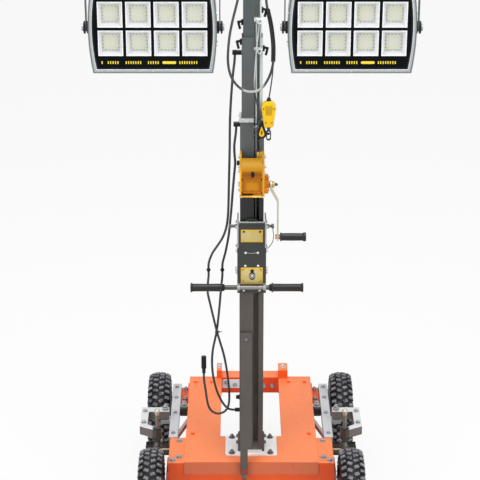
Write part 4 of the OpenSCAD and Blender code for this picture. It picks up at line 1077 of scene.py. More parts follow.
class TOWER_OT_floodlights(bpy.types.Operator):
    """Fills the floodlights with reflectors, diode panels, gasket, screws and pivot knobs"""
    bl_idname = "tower.floodlights"
    bl_label = "Floodlights"

    COLUMNS = (-1.5, -0.5, 0.5, 1.5)    # the reflectors' places across, in pitches from the middle
    RIM = 0.0145            # from the housing's outline in to the gasket
    RAISED = 0.004          # how far the reflectors' middle stands above the housing's
    SEAT_Y = 0.0195         # from the glass back to the diode panels
    BAND_DROP = 0.1175      # from the housing's middle down to the middle of the black band
    TICK_GROUPS = ((-0.182, 1), (-0.16, 5), (-0.096, 7), (-0.016, 5), (0.096, 8))    # start and count

    def execute(self, context):
        sizes = context.scene.tower_sizes
        masters = ((self.reflector(sizes), "reflectors", "reflector"),
                   (self.panel(), "diode_panels", "diode"), (self.dots(), "diode_screws", "fitting"))
        for side in SIDES:
            centre, front = middle(f"lamp_housing_{side}"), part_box(f"lamp_face_{side}")[0].y
            spots = [(centre.x + column * sizes.module_pitch_x, front,
                      centre.z + (row - 0.5) * sizes.module_pitch_z + self.RAISED)
                     for column in self.COLUMNS for row in (0, 1)]
            places = [Matrix.Translation(spot) for spot in spots]
            for master, name, finish in masters:
                settle(copies(master, places, keep=True), f"{name}_{side}", f"floodlight_{side}", finish,
                       30)
            self.gasket(side, centre, front)
            self.ticks(side, centre, front)
            self.screws(side, centre)
            self.pivots(side)
        for master, _, _ in masters:
            bpy.data.objects.remove(master)
        return {"FINISHED"}

    def reflector(self, sizes):
        """Square dish: a flat lip, four sloping walls and a seat for the diode panel."""
        width, height, depth, seat = sizes.module_w, sizes.module_h, 0.02, 0.78
        lip, step, ledge = 0.0035, 0.0015, 0.002
        clear_selection()
        bpy.ops.mesh.primitive_plane_add(size=1, rotation=(math.pi / 2, 0, 0))
        piece = bpy.context.object
        piece.scale = (width, height, 1)
        bpy.ops.object.transform_apply(location=False, rotation=True, scale=True)
        edit_mesh()
        select_all()
        bpy.ops.mesh.inset(thickness=lip)
        draw_out((0, step, 0))
        draw_out((0, depth, 0))
        bpy.ops.transform.resize(value=(seat, 1, seat), center_override=(0, depth, 0))
        bpy.ops.mesh.inset(thickness=ledge)
        draw_out((0, ledge, 0))
        leave_mesh()
        return soften(piece, 0.0012, 2, 20)

    def panel(self):
        """Diode panel on the seat of the reflector."""
        half = 0.0308
        return block((-half, self.SEAT_Y, -half), (half, self.SEAT_Y + 0.0027, half), 0.0012)

    def dots(self):
        """Small screws and solder pads along the four edges of the panel."""
        reach = 0.0278
        spots = [(a, b) for a in (-reach, reach) for b in (-0.0195, -0.0065, 0.0065, 0.0195)]
        spots += [(b, a) for a, b in spots]
        head = turned([(0.0016, 0), (0.0013, 0.0006), (0, 0.0008)], steps=8)
        return copies(head, stood([(x, self.SEAT_Y, z) for x, z in spots], FRONT))

    def gasket(self, side, centre, front):
        thick = 0.0012
        low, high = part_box(f"lamp_housing_{side}")
        half_w, half_h = HOUSING_REACH - self.RIM, (high.z - low.z) / 2 - self.RIM
        outline = [(centre.x + x, centre.z + z) for x, z in barrel(half_w, half_h, SIDE_BULGE)]
        piece = chain([(x, front - thick, z) for x, z in outline])
        bpy.ops.mesh.edge_face_add()
        bpy.ops.mesh.inset(thickness=0.0045)
        bpy.ops.mesh.delete(type="FACE")
        select_all()
        draw_out((0, thick, 0))
        close_shell()
        settle(soften(piece, 0.0004, 1), f"gasket_{side}", f"floodlight_{side}", "fitting")

    def ticks(self, side, centre, front):
        """Plain groups of ticks and one bar in the black band under the reflectors."""
        thick, half_w, half_h, pitch = 0.0002, 0.0022, 0.0052, 0.0086
        z = centre.z - self.BAND_DROP
        tick = block((-half_w, front - thick, -half_h), (half_w, front, half_h), 0.0001, 1)
        places = []
        for start, count in self.TICK_GROUPS:
            places += [Matrix.Translation((centre.x + start + i * pitch, 0, z)) for i in range(count)]
        bar_x, bar_half, bar_radius = centre.x + 0.058, 0.02, 0.005
        bar = []
        for hand in (1, -1):
            for i in range(7):
                angle = math.radians((0 if hand > 0 else 180) + 30 * i) * hand
                bar.append((bar_x + hand * (bar_half + bar_radius * math.sin(angle)),
                            z + bar_radius * math.cos(angle)))
        pill = cut_plate(bar, "Y", front - thick, front, 0)
        settle(joined(copies(tick, places), pill), f"band_marks_{side}", f"floodlight_{side}", "print")

    def screws(self, side, centre):
        low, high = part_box(f"lamp_housing_{side}")
        half_h = (high.z - low.z) / 2 - 0.007
        spots = [(centre.x + x, low.y, centre.z + z) for z in (-half_h, half_h) for x in (-0.16, 0.0, 0.16)]
        fasten(cap_screw(0.0032), stood(spots, FRONT), f"frame_screws_{side}", f"floodlight_{side}")

    def pivots(self, side):
        """Friction discs between the housing and the yoke, and fluted knobs outside it."""
        centre, body = middle(f"lamp_housing_{side}"), f"floodlight_{side}"

        def beside(reach):
            return [placed((centre.x + hand * reach, PIVOT_Y, centre.z), (hand, 0, 0)) for hand in (-1, 1)]
        disc = turned([(0.0123, 0), (0.022, 0), (0.0225, 0.0008), (0.0225, 0.006), (0.021, 0.0072),
                       (0.0123, 0.0072)], steps=40)
        fasten(disc, beside(HOUSING_REACH + 0.0002), f"friction_discs_{side}", body, "fitting")
        flutes = 12
        flute = block((-0.0028, -0.0232, 0.0006), (0.0028, -0.0185, 0.0066), 0.0012)
        grip = copies(flute, [Matrix.Rotation(math.tau * i / flutes, 4, "Z") for i in range(flutes)])
        rim = turned([(0.0132, 0.0006), (0.0212, 0.0006), (0.0218, 0.0014), (0.0218, 0.006),
                      (0.0206, 0.007), (0.015, 0.008), (0.0132, 0.008)], steps=36)
        fasten(joined(rim, grip), beside(YOKE_REACH), f"pivot_knobs_{side}", body, "fitting")


# ---------------- fall arrester and its rope

def tube_round(points, radius, closed=False):
    """A round bar bent through the points, made from a curve and turned into a mesh."""
    clear_selection()
    curve = bpy.data.curves.new("Bar", "CURVE")
    curve.dimensions = "3D"
    curve.bevel_depth = radius
    curve.bevel_resolution = 3
    curve.use_fill_caps = not closed
    spline = curve.splines.new("NURBS")
    spline.points.add(len(points) - 1)
    for knot, point in zip(spline.points, points):
        knot.co = (*point, 1)
    spline.order_u = 3
    spline.use_endpoint_u = not closed
    spline.use_cyclic_u = closed
    piece = bpy.data.objects.new("Bar", curve)
    bpy.context.scene.collection.objects.link(piece)
    choose(piece)
    bpy.ops.object.convert(target="MESH")
    return bpy.context.object


def ring_points(centre, radius, start, end, steps):
    """Points round a circle that faces the front, from one angle to another."""
    angles = [start + (end - start) * i / steps for i in range(steps + 1)]
    return [(centre[0] + radius * math.cos(a), centre[1], centre[2] + radius * math.sin(a)) for a in angles]


class TOWER_OT_arrester(bpy.types.Operator):
    """Models the fall arrester's moulded case and the thimble and sling on the safety rope"""
    bl_idname = "tower.arrester"
    bl_label = "Fall arrester"

    CORD_Y = -0.286         # the plane that the arrester's cord hangs in

    def execute(self, context):
        self.case()
        self.thimble()
        return {"FINISHED"}

    def case(self):
        """Case with a round crown and a narrow foot, its panel, screws, neck and band."""
        low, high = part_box("arrester_block")
        x = (low.x + high.x) / 2
        crown = (high.x - low.x) / 2
        rise = high.z - crown
        outline = [(x + crown * math.cos(a), rise + crown * math.sin(a))
                   for a in (math.radians(-20 + 220 * i / 16) for i in range(17))]
        outline += [(x - 0.017, low.z + 0.004), (x - 0.013, low.z), (x + 0.013, low.z),
                    (x + 0.017, low.z + 0.004)]
        shell = cut_plate(outline, "Y", low.y, high.y, 0.0065)
        settle(shell, "arrester_case", "inner", "safety", 40)
        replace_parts(shell, "arrester_block")
        corners = ((-0.012, 0.012), (0.012, 0.012), (0.014, 0.006), (0.01, -0.024), (-0.01, -0.024),
                   (-0.014, 0.006))
        panel = cut_plate([(x + across, rise + up) for across, up in corners], "Y", low.y - 0.0008,
                          low.y + 0.002, 0.0006)
        settle(panel, "arrester_panel", "inner", "safety_dark")
        spots = [(x + across, low.y + 0.0006, rise + up)
                 for across, up in ((-0.019, 0.0), (0.019, 0.0), (-0.011, -0.052), (0.011, -0.052))]
        fasten(cap_screw(0.0026), stood(spots, FRONT), "arrester_screws", "inner", "steel")
        neck = turned([(0.0034, 0), (0.008, 0), (0.0085, 0.002), (0.0075, 0.006), (0.0055, 0.012),
                       (0.0034, 0.012)], (x, self.CORD_Y, high.z - 0.001), steps=28)
        settle(neck, "arrester_neck", "inner", "fitting")
        half, bottom, top = 0.0185, low.z + 0.006, low.z + 0.011
        band = cut_plate([(x - half, bottom), (x + half, bottom), (x + half, top), (x - half, top)],
                         "Y", low.y + 0.004, high.y - 0.004, 0.0008)
        settle(band, "arrester_band", "inner", "fitting")

    def thimble(self):
        """Yellow heart-shaped thimble with a black sling laid in its groove."""
        centre = middle("rope_eye")
        reach, tip = 0.0098, 0.03
        lean = math.acos(reach / tip)
        start, end = math.pi / 2 + lean, math.pi / 2 - lean + math.tau
        heart = [(x, z) for x, _, z in ring_points(centre, reach, start, end, 20)]
        heart.append((centre.x, centre.z + tip))
        hole = []
        for angle in (math.tau * i / 20 for i in range(20)):
            stretch = 1.3 if math.cos(angle) > 0 else 1
            hole.append((centre.x + 0.0034 * math.sin(angle),
                         centre.z + 0.004 + 0.0078 * math.cos(angle) * stretch))
        body = cut_plate(heart, "Y", centre.y - 0.0045, centre.y + 0.0035, 0.0012)
        window = cut_plate(hole, "Y", centre.y - 0.01, centre.y + 0.01, 0)
        cutting = body.modifiers.new("Window", "BOOLEAN")
        cutting.operation = "DIFFERENCE"
        cutting.object = window
        choose(body)
        bpy.ops.object.modifier_apply(modifier=cutting.name)
        bpy.data.objects.remove(window)
        settle(body, "rope_thimble", "inner", "safety")
        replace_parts(body, "rope_eye")
        groove, leg, leg_top, y = reach + 0.0036, 0.0022, centre.z + tip + 0.01, centre.y - 0.001
        bend = [(x, y, z) for x, _, z in ring_points(centre, groove, start, end, 20)]
        sling = tube_round([(centre.x - leg, y, leg_top)] + bend + [(centre.x + leg, y, leg_top)], 0.0046)
        ferrule = turned([(0.0026, 0), (0.0056, 0), (0.006, 0.001), (0.006, 0.013), (0.005, 0.015),
                          (0.0026, 0.015)], (centre.x, centre.y, centre.z + tip + 0.003), steps=24)
        settle(joined(sling, ferrule), "rope_sling", "inner", "fitting")


# ---------------- chassis fittings

class TOWER_OT_chassis_fittings(bpy.types.Operator):
    """Bolts, nuts, plates and caps on the deck, its beams and the foot of the post"""
    bl_idname = "tower.chassis_fittings"
    bl_label = "Chassis fittings"

    # The (x, y) of the bolts on the right, each with its like on the left
    WING_BOLTS = ((0.287, -0.123), (0.284, -0.258), (0.308, -0.284))
    DECK_BOLTS = ((0.168, 0.404), (0.236, 0.404), (0.236, -0.07))
    TAB_BOLTS = ((0.278, 0.285), (0.278, 0.382))
    # The (x, y) of the bolts through the saddles and the nuts round the post's foot
    SADDLE_BOLTS = ((-0.1345, 0.48), (0.1435, 0.48))
    FLOOR_NUTS = ((-0.076, -0.235), (-0.076, -0.106), (0.076, -0.235), (0.076, -0.106))

    def execute(self, context):
        self.deck_bolts()
        self.tab_bolts()
        self.middle_clamps()
        self.beam_plate()
        self.post_foot()
        return {"FINISHED"}

    def on_both_sides(self, pairs, z):
        return stood([(side * x, y, z) for x, y in pairs for side in (-1, 1)])

    def deck_bolts(self):
        wing, deck, saddle = (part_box(node)[1].z for node in ("front_channel", "deck", "saddle_blocks"))
        fasten(hex_bolt(0.011), self.on_both_sides(self.WING_BOLTS, wing), "wing_bolts", "chassis",
               "dull_zinc")
        fasten(hex_bolt(0.008), self.on_both_sides(self.DECK_BOLTS, deck), "deck_bolts", "chassis", "orange")
        spots = [(x, y, saddle) for x, y in self.SADDLE_BOLTS]
        fasten(hex_bolt(0.01), stood(spots), "saddle_bolts", "chassis")

    def tab_bolts(self):
        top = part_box("side_rail_left")[0].z + 0.012
        fasten(nut_on_stud(0.011), self.on_both_sides(self.TAB_BOLTS, top), "tab_bolts", "chassis",
               "dull_zinc")

    def middle_clamps(self):
        """Clamp plates with one large nut where the middle brackets hold the rails."""
        rail, half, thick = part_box("side_rail_left")[0].z, 0.0145, 0.006
        top = rail + 0.03
        plates, nuts = [], []
        for side in (-1, 1):
            x = side * 0.2795
            plates.append(block((x - half, 0.158, top), (x + half, 0.212, top + thick), 0.0015))
            plates.append(block((x - half, 0.158, rail), (x + half, 0.1635, top), 0.0012))
            nuts.append((x, 0.185, top + thick))
        settle(joined(*plates), "rail_clamps", "chassis", "bracket")
        fasten(nut_on_stud(0.015), stood(nuts), "rail_clamp_nuts", "chassis", "dull_zinc")

    def beam_plate(self):
        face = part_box("rear_crossbeam")[0].y
        proud = face - 0.002
        plate = block((-0.121, proud, 0.25), (-0.046, face, 0.292), 0.0008)
        settle(plate, "beam_plate", "chassis", "galvanised")
        spots = [(-0.066, proud, 0.266), (-0.104, proud, 0.276), (0.062, face, 0.26), (0.098, face, 0.26)]
        fasten(hex_bolt(0.008), stood(spots, FRONT), "beam_bolts", "chassis", "dull_zinc")

    def post_foot(self):
        """Nuts on the base plate, the bolts through the post's foot and the brace, and a cap on the post."""
        floor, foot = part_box("mast_base")[0].z + 0.008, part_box("lower_post")[0].z
        low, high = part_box("front_brace")
        spots = [(x, y, floor) for x, y in self.FLOOR_NUTS]
        fasten(nut_on_stud(0.011), stood(spots), "mast_base_nuts", "chassis", "steel")
        cap = turned([(0.0, 0.014), (0.006, 0.014), (0.0078, 0.012), (0.0082, 0.003), (0.0105, 0.002),
                      (0.0105, 0), (0.0, 0)], (-0.046, -0.15, 0.506), LEFT, 28)
        settle(cap, "post_cap", "chassis", "fitting")
        places = [placed((hand * 0.052, -0.177, foot + height), (hand, 0, 0))
                  for hand in (-1, 1) for height in (0.018, 0.046)]
        fasten(hex_bolt(0.008), places, "post_foot_bolts", "chassis", "steel")
        upper = ((low.x + high.x) / 2, high.y - 0.0115, high.z - 0.028)
        places = [placed(upper, (0, -1, 0.28)), placed((-0.028, low.y, 0.256), FRONT)]
        fasten(hex_bolt(0.009), places, "brace_bolts", "chassis", "steel")


# ---------------- wheels and stabilisers

class TOWER_OT_wheel_fittings(bpy.types.Operator):
    """Wheel nuts, hub caps and valves on the rims"""
    bl_idname = "tower.wheel_fittings"
    bl_label = "Wheel fittings"

    NUTS = 5
    NUT_CIRCLE = 0.043
    WEB_LEFT, WEB_RIGHT = 0.0072, 0.0022    # from a rim's middle out to the face of its web
    HUB_FACE = 0.0461

    def execute(self, context):
        """Five nuts, a pressed ring round the axle and a valve on each wheel's outer side."""
        nut = hex_bolt(0.01)
        ring = turned([(0.0164, 0), (0.0232, 0), (0.0235, 0.0004), (0.0222, 0.0022), (0.0185, 0.003),
                       (0.0164, 0.003)], steps=36)
        valve = turned([(0.0034, 0), (0.0034, 0.014), (0.0042, 0.015), (0.0042, 0.024), (0.0026, 0.026),
                        (0, 0.026)], steps=16)
        for wheel in WHEELS:
            side, web = (1, self.WEB_RIGHT) if wheel.endswith("right") else (-1, self.WEB_LEFT)
            centre = Matrix.Translation(middle(f"rim_{wheel}"))
            turns = [Matrix.Rotation(math.tau * (i + 0.5) / self.NUTS, 4, "X") for i in range(self.NUTS)]
            nuts = [centre @ turn @ placed((side * web, 0, self.NUT_CIRCLE), (side, 0, 0)) for turn in turns]
            hub = centre @ placed((side * self.HUB_FACE, 0, 0), (side, 0, 0))
            stem = centre @ placed((side * 0.012, 0, 0.066), (side, 0, 0.25))
            for master, places, name, finish, slot in ((nut, nuts, "wheel_nuts", "zinc", "zinc"),
                                                       (ring, [hub], "hub_washer", "dull_zinc", "zinc"),
                                                       (valve, [stem], "valve", "fitting", "tyre")):
                settle(copies(master, places, keep=True), f"{name}_{wheel}", f"wheel_{wheel}", finish)
        for master in (nut, ring, valve):
            bpy.data.objects.remove(master)
        return {"FINISHED"}


class TOWER_OT_stabiliser_fittings(bpy.types.Operator):
    """Nuts, bolts, rings, ribs and wing screws on the stabilisers and their levelling screws"""
    bl_idname = "tower.stabiliser_fittings"
    bl_label = "Stabiliser fittings"

    # The (x, y) of the pivot's nut and of both rows of bolts on the right, and the ledge that one stands on
    PIVOT = ((0.352, 0.07),)
    ARM_BOLTS = ((0.434, -0.045), (0.434, 0.055))
    RAIL_BOLTS = ((0.314, -0.06), (0.314, 0.12), (0.314, 0.26), (0.314, 0.36))
    RAIL_LEDGE = 0.298

    def execute(self, context):
        for name, side in SIDES.items():
            arm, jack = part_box(f"stabiliser_arm_{name}"), middle(f"jack_{name}")
            places = self.on_side(side, self.PIVOT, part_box(f"side_rail_{name}")[1].z)
            fasten(nut_on_stud(0.011), places, f"pivot_nut_{name}", "chassis", "dull_zinc")
            self.sleeve(name, arm, jack)
            self.foot(name, jack)
            self.wing_screw(name, side, arm, jack)
            places = self.on_side(side, self.ARM_BOLTS, arm[1].z - 0.001)
            fasten(hex_bolt(0.009), places, f"arm_bolts_{name}", f"stabiliser_{name}", "dull_zinc")
            places = self.on_side(side, self.RAIL_BOLTS, self.RAIL_LEDGE)
            fasten(hex_bolt(0.008), places, f"rail_bolts_{name}", "chassis", "dull_zinc")
        return {"FINISHED"}

    def on_side(self, side, pairs, z):
        return stood([(side * x, y, z) for x, y in pairs])

    def sleeve(self, name, arm, jack):
        """Ring round the sleeve's foot and dark lip in its mouth."""
        body = f"stabiliser_{name}"
        ring = turned([(0.0172, 0), (0.0205, 0), (0.021, 0.0006), (0.021, 0.0096), (0.0205, 0.0102),
                       (0.0172, 0.0102)], (jack.x, jack.y, arm[0].z + 0.001), steps=36)
        settle(ring, f"sleeve_ring_{name}", body, "bracket")
        mouth = turned([(0.0092, 0), (0.0166, 0), (0.0166, 0.0012), (0.015, 0.0018), (0.0092, 0.0008),
                        (0.0092, 0)], (jack.x, jack.y, arm[1].z - 0.0002), steps=36)
        settle(mouth, f"sleeve_mouth_{name}", body, "fitting")

    def foot(self, name, jack):
        """Stiffening rib across the foot plate and the boss that the screw stands in."""
        half, top = 0.0475, 0.2545
        rib = block((jack.x - half, -0.117, top - 0.005), (jack.x + half, -0.107, top), 0.0015)
        settle(rib, f"foot_rib_{name}", f"jack_{name}", "foot_rib")
        boss = turned([(0.0086, 0), (0.015, 0), (0.0155, 0.002), (0.0128, 0.006), (0.0124, 0.03),
                       (0.0112, 0.032), (0.0086, 0.032)], (jack.x, jack.y, 0.2502), steps=32)
        settle(boss, f"foot_boss_{name}", f"jack_{name}", "steel")

    def wing_screw(self, name, side, arm, jack):
        """Screw on the sleeve's foot that locks the jack."""
        x, y, z = jack.x - side * 0.0166, jack.y + 0.004, arm[0].z + 0.0068
        stem = turned([(0, 0), (0.004, 0), (0.004, 0.016), (0.006, 0.017), (0.006, 0.022), (0, 0.022)],
                      (x, y, z), FRONT, 20)
        wing = block((x - 0.0022, y - 0.026, z - 0.01), (x + 0.0022, y - 0.018, z + 0.01), 0.0018)
        settle(joined(stem, wing), f"sleeve_clamp_{name}", f"stabiliser_{name}", "dull_zinc")


# ---------------- fold bracket and push bar

def oval(centre_x, centre_z, half_w, half_h, steps=24):
    return [(centre_x + half_w * math.cos(math.tau * i / steps),
             centre_z + half_h * math.sin(math.tau * i / steps)) for i in range(steps)]


class TOWER_OT_bracket_fittings(bpy.types.Operator):
    """Bare label plates, rivets, edge strips and the latch on the fold bracket"""
    bl_idname = "tower.bracket_fittings"
    bl_label = "Fold bracket fittings"

    LABEL_X = 0.0005           # the labels' middle, beside the bracket's
    UPPER_LABEL, LOWER_LABEL = (1.191, 1.241), (1.027, 1.089)      # their feet and tops
    LATCH_X, LATCH_Z = 0.002, 1.0555

    def execute(self, context):
        low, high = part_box("fold_bracket")
        self.labels(low.y)
        self.edges(low, high)
        self.rivets(low, high)
        self.latch(low.y)
        return {"FINISHED"}

    def labels(self, face):
        """Two plain plates with yellow borders: a fold on the upper one, dark corners on the lower one."""
        half, border = 0.0415, 0.0045
        borders, fields = [], []
        for bottom, top in (self.UPPER_LABEL, self.LOWER_LABEL):
            borders.append(block((self.LABEL_X - half, face - 0.0012, bottom),
                                 (self.LABEL_X + half, face, top), 0.001))
            fields.append(block((self.LABEL_X - 0.038, face - 0.0018, bottom + border),
                                (self.LABEL_X + 0.038, face - 0.001, top - border), 0.0006))
        settle(joined(*borders), "label_borders", "chassis", "label_yellow")
        settle(joined(*fields), "label_fields", "chassis", "label_pale")
        fold = block((-0.0008, face - 0.0022, 1.196), (0.0012, face - 0.0014, 1.236), 0.0003, 1)
        settle(fold, "label_fold", "chassis", "label_yellow")
        corners = []
        for side in (-1, 1):
            edge, within = side * 0.0375 + self.LABEL_X, side * 0.026 + self.LABEL_X
            for z, up in ((1.0315, 0.011), (1.0845, -0.011)):
                corners.append(cut_plate([(edge, z), (within, z), (edge, z + up)], "Y", face - 0.0022,
                                         face - 0.0014, 0.0002))
        settle(joined(*corners), "label_corners", "chassis", "label_amber")
        spots = [(x, face - 0.0018, 1.2335) for x in (-0.03, 0.031)]
        fasten(cap_screw(0.0036), stood(spots, FRONT), "label_screws", "chassis", "fitting")

    def edges(self, low, high):
        """Bright rounded lip along the bracket's top, its raised middle and the strips down both sides."""
        face, top, bar = low.y, high.z, middle("push_bar")
        parts = [block((low.x, face - 0.0025, top - 0.003), (high.x, face + 0.0045, top + 0.003), 0.0022)]
        hump = [(x, face + 0.001, top + up) for x, up in
                ((-0.026, 0.002), (-0.018, 0.008), (0.0, 0.011), (0.018, 0.008), (0.026, 0.002))]
        settle(tube_round(hump, 0.0028), "bracket_hump", "chassis", "black_steel")
        parts.append(block((low.x, face - 0.002, bar.z + 0.0105), (high.x, face + 0.001, bar.z + 0.0135),
                           0.0012))
        for side in (-1, 1):
            left, right = sorted((side * 0.0548, side * 0.0492))
            parts.append(block((left, face - 0.002, 1.168), (right, face + 0.002, top + 0.012), 0.0018))
            parts.append(turned([(0.0, 0.0024), (0.0042, 0.0024), (0.0048, 0.0015), (0.0048, 0), (0.0, 0)],
                                (side * 0.052, face - 0.002, top + 0.01), FRONT, 20))
        settle(joined(*parts), "bracket_trim", "chassis", "trim")

    def rivets(self, low, high):
        """Rivets and a wire on the front, bolts on both cheeks and a ring at each end of the fold pin."""
        face = low.y
        spots = [(side * x, face, z) for x, z in ((0.023, 1.148), (0.024, 1.0955), (0.03, 0.996))
                 for side in (-1, 1)]
        fasten(rivet(0.0048), stood(spots, FRONT), "bracket_rivets", "chassis", "galvanised")
        wire = tube_round([(x, face - 0.0012, z) for x, z in
                           ((-0.023, 1.15), (-0.008, 1.1465), (0.008, 1.1465), (0.023, 1.15))], 0.0009)
        settle(wire, "bracket_wire", "chassis", "zinc")
        spots = ((-0.205, 1.146), (-0.205, 1.06), (-0.15, 1.146), (-0.205, 1.24), (-0.14, 1.24))
        cheeks = [placed((hand * high.x, y, z), (hand, 0, 0)) for hand in (-1, 1) for y, z in spots]
        fasten(hex_bolt(0.007), cheeks, "bracket_bolts", "chassis")
        ring = turned([(0.0085, 0), (0.0122, 0), (0.0126, 0.0006), (0.0122, 0.0018), (0.0085, 0.0018)],
                      steps=28)
        axis, reach = middle("fold_pin"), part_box("fold_pin")[1].x
        ends = [placed((hand * reach, axis.y, axis.z), (hand, 0, 0)) for hand in (-1, 1)]
        fasten(ring, ends, "fold_pin_rings", "chassis", "dull_zinc")

    def latch(self, face):
        """Dark oval keyhole over a round catch with a bright button."""
        hole = cut_plate(oval(self.LATCH_X, self.LATCH_Z + 0.021, 0.0075, 0.0055), "Y", face - 0.0026,
                         face - 0.0012, 0.0005)
        settle(hole, "latch_hole", "chassis", "fitting")
        case = cut_plate(oval(self.LATCH_X, self.LATCH_Z, 0.0115, 0.0165), "Y", face - 0.0032, face - 0.0012,
                         0.0008)
        on_case = (self.LATCH_X, face - 0.003, self.LATCH_Z)
        ring = turned([(0.0055, 0), (0.0102, 0), (0.0106, 0.0012), (0.0092, 0.0034), (0.0062, 0.0034),
                       (0.0055, 0.0022)], on_case, FRONT, 36)
        settle(case, "latch_plate", "chassis", "fitting")
        settle(ring, "latch_ring", "chassis", "dull_zinc")
        button = turned([(0, 0.0042), (0.0034, 0.0038), (0.0048, 0.0024), (0.005, 0), (0, 0)], on_case,
                        FRONT, 28)
        settle(button, "latch_button", "chassis", "zinc")


class TOWER_OT_push_bar_fittings(bpy.types.Operator):
    """Clamps and end collars on the push bar"""
    bl_idname = "tower.push_bar_fittings"
    bl_label = "Push bar fittings"

    # Places along the bar, each with the way that the part there faces: 1 is right, -1 is left
    CLAMPS = ((-0.0545, 1), (0.0435, 1))
    COLLARS = ((-0.1108, 1), (0.0748, -1))

    def execute(self, context):
        bore, (low, high) = 0.0092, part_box("push_grips")
        ring = turned([(bore, 0), (0.0118, 0), (0.0126, 0.0012), (0.0126, 0.0098), (0.0118, 0.011),
                       (bore, 0.011)], steps=36)
        fasten(ring, self.along(self.CLAMPS), "bar_clamps", "chassis", "dull_zinc")
        collar = turned([(bore, 0), (0.0128, 0), (0.0136, 0.001), (0.0136, 0.005), (0.0112, 0.0085),
                         (bore, 0.009)], steps=36)
        fasten(collar, self.along(self.COLLARS), "bar_collars", "chassis", "fitting")
        cap = turned([(0, 0.0004), (0.0095, 0.0004), (0.0128, 0.0001), (0.0128, -0.0004), (0, -0.0004)],
                     steps=36)
        fasten(cap, self.along(((high.x, 1), (low.x, -1))), "grip_ends", "chassis", "fitting")
        return {"FINISHED"}

    def along(self, spots):
        axis = middle("push_bar")
        return [placed((x, axis.y, axis.z), (hand, 0, 0)) for x, hand in spots]


# ---------------- winch

